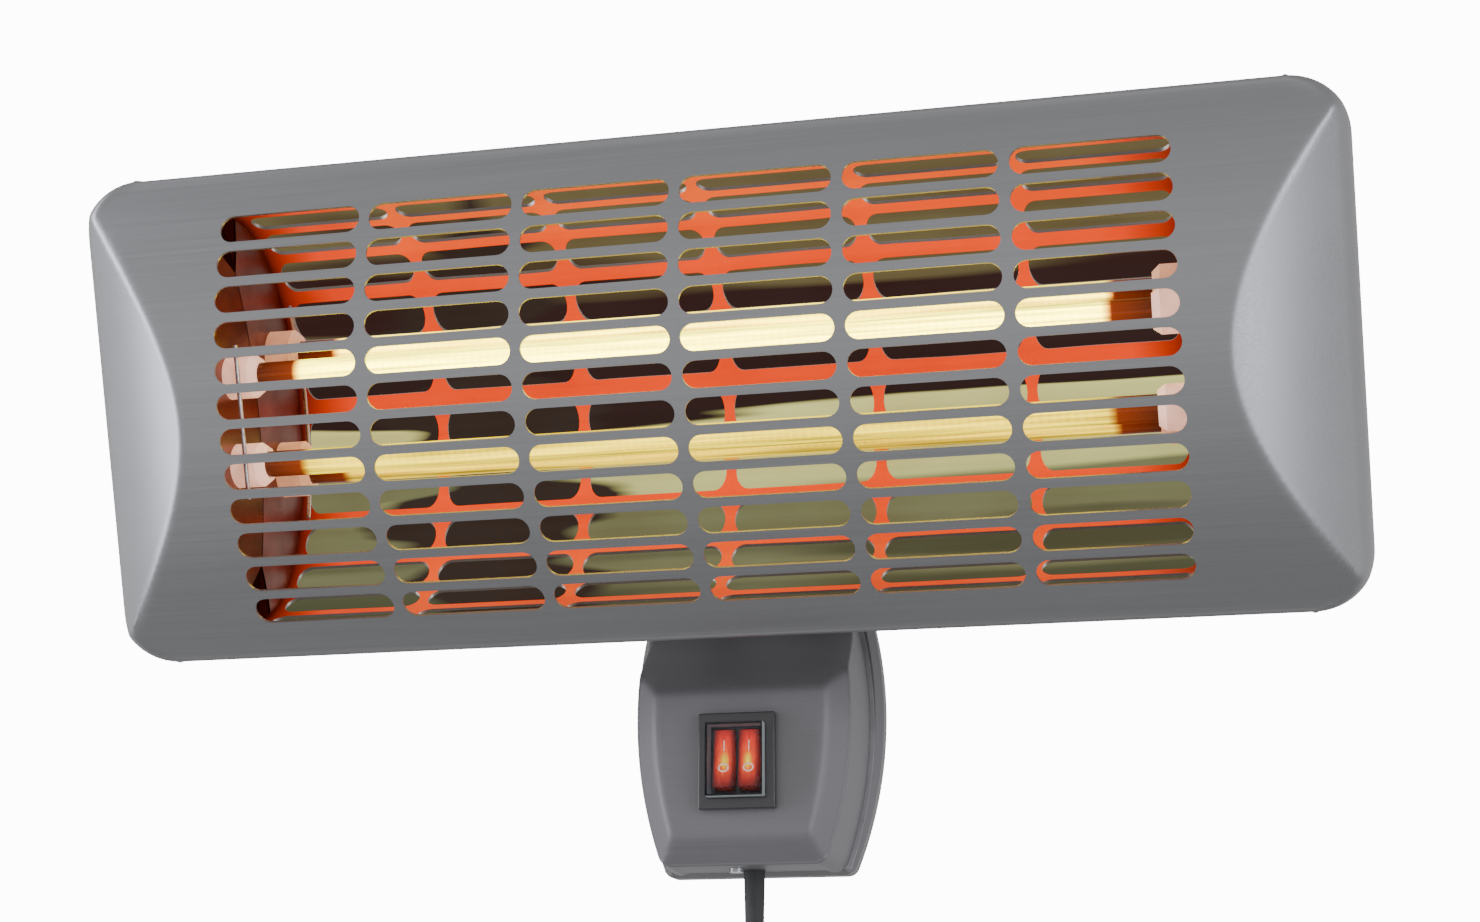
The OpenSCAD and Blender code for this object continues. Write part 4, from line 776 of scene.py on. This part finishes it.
def soft_light(name, at, width, height, power):
    """A large cool white softbox that faces the heater."""
    data = bpy.data.lights.new(name, "AREA")
    data.shape = "RECTANGLE"
    data.size, data.size_y = width, height
    data.energy = power
    data.color = colour("#f1f5ff")[:3]
    obj = bpy.data.objects.new(name, data)
    aim = (Vector((0, -0.1, 0.1)) - Vector(at)).to_track_quat("-Z", "Y")
    obj.matrix_world = Matrix.Translation(at) @ aim.to_matrix().to_4x4()
    bpy.context.scene.collection.objects.link(obj)


soft_light("left_softbox", (-1.9, -0.75, 0.4), 0.6, 2.4, 42)
soft_light("right_softbox", (1.8, -1.35, 0.05), 0.4, 1.6, 18)

floor_made, tree = material("pale_floor")
where = node(tree, "ShaderNodeTexCoord").outputs["Object"]
speckle = node(tree, "ShaderNodeTexNoise", Vector=where, Scale=spacing(71.4), Detail=4.0).outputs["Fac"]
two_tones = node(tree, "ShaderNodeMix", {"data_type": "RGBA"}, Factor=speckle, i6=colour("#d6d6d6"),
                 i7=colour("#dedede")).outputs[2]
shader = node(tree, "ShaderNodeBsdfPrincipled", Roughness=0.8, Base_Color=two_tones)
finished(floor_made, tree, shader)
bpy.ops.mesh.primitive_plane_add(size=14, location=(0, 0, -1.25))
floor = bpy.context.object
floor.name = "floor"
floor.data.materials.append(floor_made)
floor.visible_glossy = False

world = bpy.data.worlds.new("studio")
world.use_nodes = True
bpy.context.scene.world = world
tree = world.node_tree
tree.nodes.clear()
rays = node(tree, "ShaderNodeLightPath")
way = node(tree, "ShaderNodeTexCoord").outputs["Generated"]
direction = node(tree, "ShaderNodeSeparateXYZ", Vector=way)

# The even light: a white surround a little darker below and overhead. Ramps run from straight
# down at 0 to straight up at 1, in linear values, since the window band is brighter than white.
share = node(tree, "ShaderNodeMapRange", Value=direction.outputs["Z"], i1=-1.0, i2=1.0).outputs[0]
studio = node(tree, "ShaderNodeValToRGB", Fac=share)
ground, overhead = studio.color_ramp.elements
ground.color, overhead.color = (0.35, 0.35, 0.35, 1), (0.5, 0.5, 0.5, 1)
for at, grey in ((0.2, 0.65), (0.35, 0.92), (0.55, 0.95)):
    studio.color_ramp.elements.new(at).color = (grey, grey, grey, 1)

# What a polished sheet mirrors: a dim room with pale ground, a dark band, a green window band
# and a dark pillar, all with uneven edges.
level_wise = node(tree, "ShaderNodeMapping", Vector=way, Scale=(2.2, 2.2, 7.0)).outputs["Vector"]
things = node(tree, "ShaderNodeTexNoise", Vector=level_wise, Scale=1.0, Detail=2.0).outputs["Fac"]
shift = node(tree, "ShaderNodeMapRange", Value=things, i1=0.3, i2=0.7, i3=-0.16, i4=0.16).outputs[0]
level = node(tree, "ShaderNodeMath", {"operation": "ADD"}, i0=direction.outputs["Z"], i1=shift).outputs["Value"]
share = node(tree, "ShaderNodeMapRange", Value=level, i1=-1.0, i2=1.0).outputs[0]
room = node(tree, "ShaderNodeValToRGB", Fac=share)
ground, overhead = room.color_ramp.elements
ground.color, overhead.color = (0.2, 0.17, 0.09, 1), (0.06, 0.07, 0.04, 1)
for at, tone in ((0.12, (0.22, 0.2, 0.1, 1)), (0.15, (0.06, 0.03, 0.03, 1)), (0.33, (0.05, 0.03, 0.03, 1)),
                 (0.345, (1.2, 1.3, 0.5, 1)), (0.44, (0.9, 1.0, 0.4, 1)), (0.47, (0.26, 0.3, 0.16, 1)),
                 (0.6, (0.27, 0.3, 0.17, 1)), (0.64, (0.13, 0.15, 0.09, 1))):
    room.color_ramp.elements.new(at).color = tone
pillar_left = 0.315
from_pillar = node(tree, "ShaderNodeMath", {"operation": "ADD"}, i0=direction.outputs["X"], i1=pillar_left)
off_pillar = node(tree, "ShaderNodeMath", {"operation": "ABSOLUTE"}, i0=from_pillar.outputs["Value"]).outputs["Value"]
ragged = node(tree, "ShaderNodeMath", {"operation": "MULTIPLY_ADD"}, i0=shift, i1=0.2, i2=off_pillar).outputs["Value"]
past_pillar = node(tree, "ShaderNodeMapRange", Value=ragged, i1=0.022, i2=0.032).outputs[0]
mirrored = node(tree, "ShaderNodeMix", {"data_type": "RGBA"}, Factor=past_pillar, i6=(0.06, 0.045, 0.04, 1),
                i7=room.outputs["Color"]).outputs[2]
soft_or_sharp = node(tree, "ShaderNodeMix", {"data_type": "RGBA"}, Factor=rays.outputs["Is Singular Ray"],
                     i6=studio.outputs["Color"], i7=mirrored).outputs[2]
surround = node(tree, "ShaderNodeMix", {"data_type": "RGBA"}, Factor=rays.outputs["Is Camera Ray"],
                i6=soft_or_sharp, i7=(13.0, 13.0, 13.0, 1)).outputs[2]
tree.links.new(node(tree, "ShaderNodeBackground", Color=surround).outputs[0],
               node(tree, "ShaderNodeOutputWorld").inputs["Surface"])
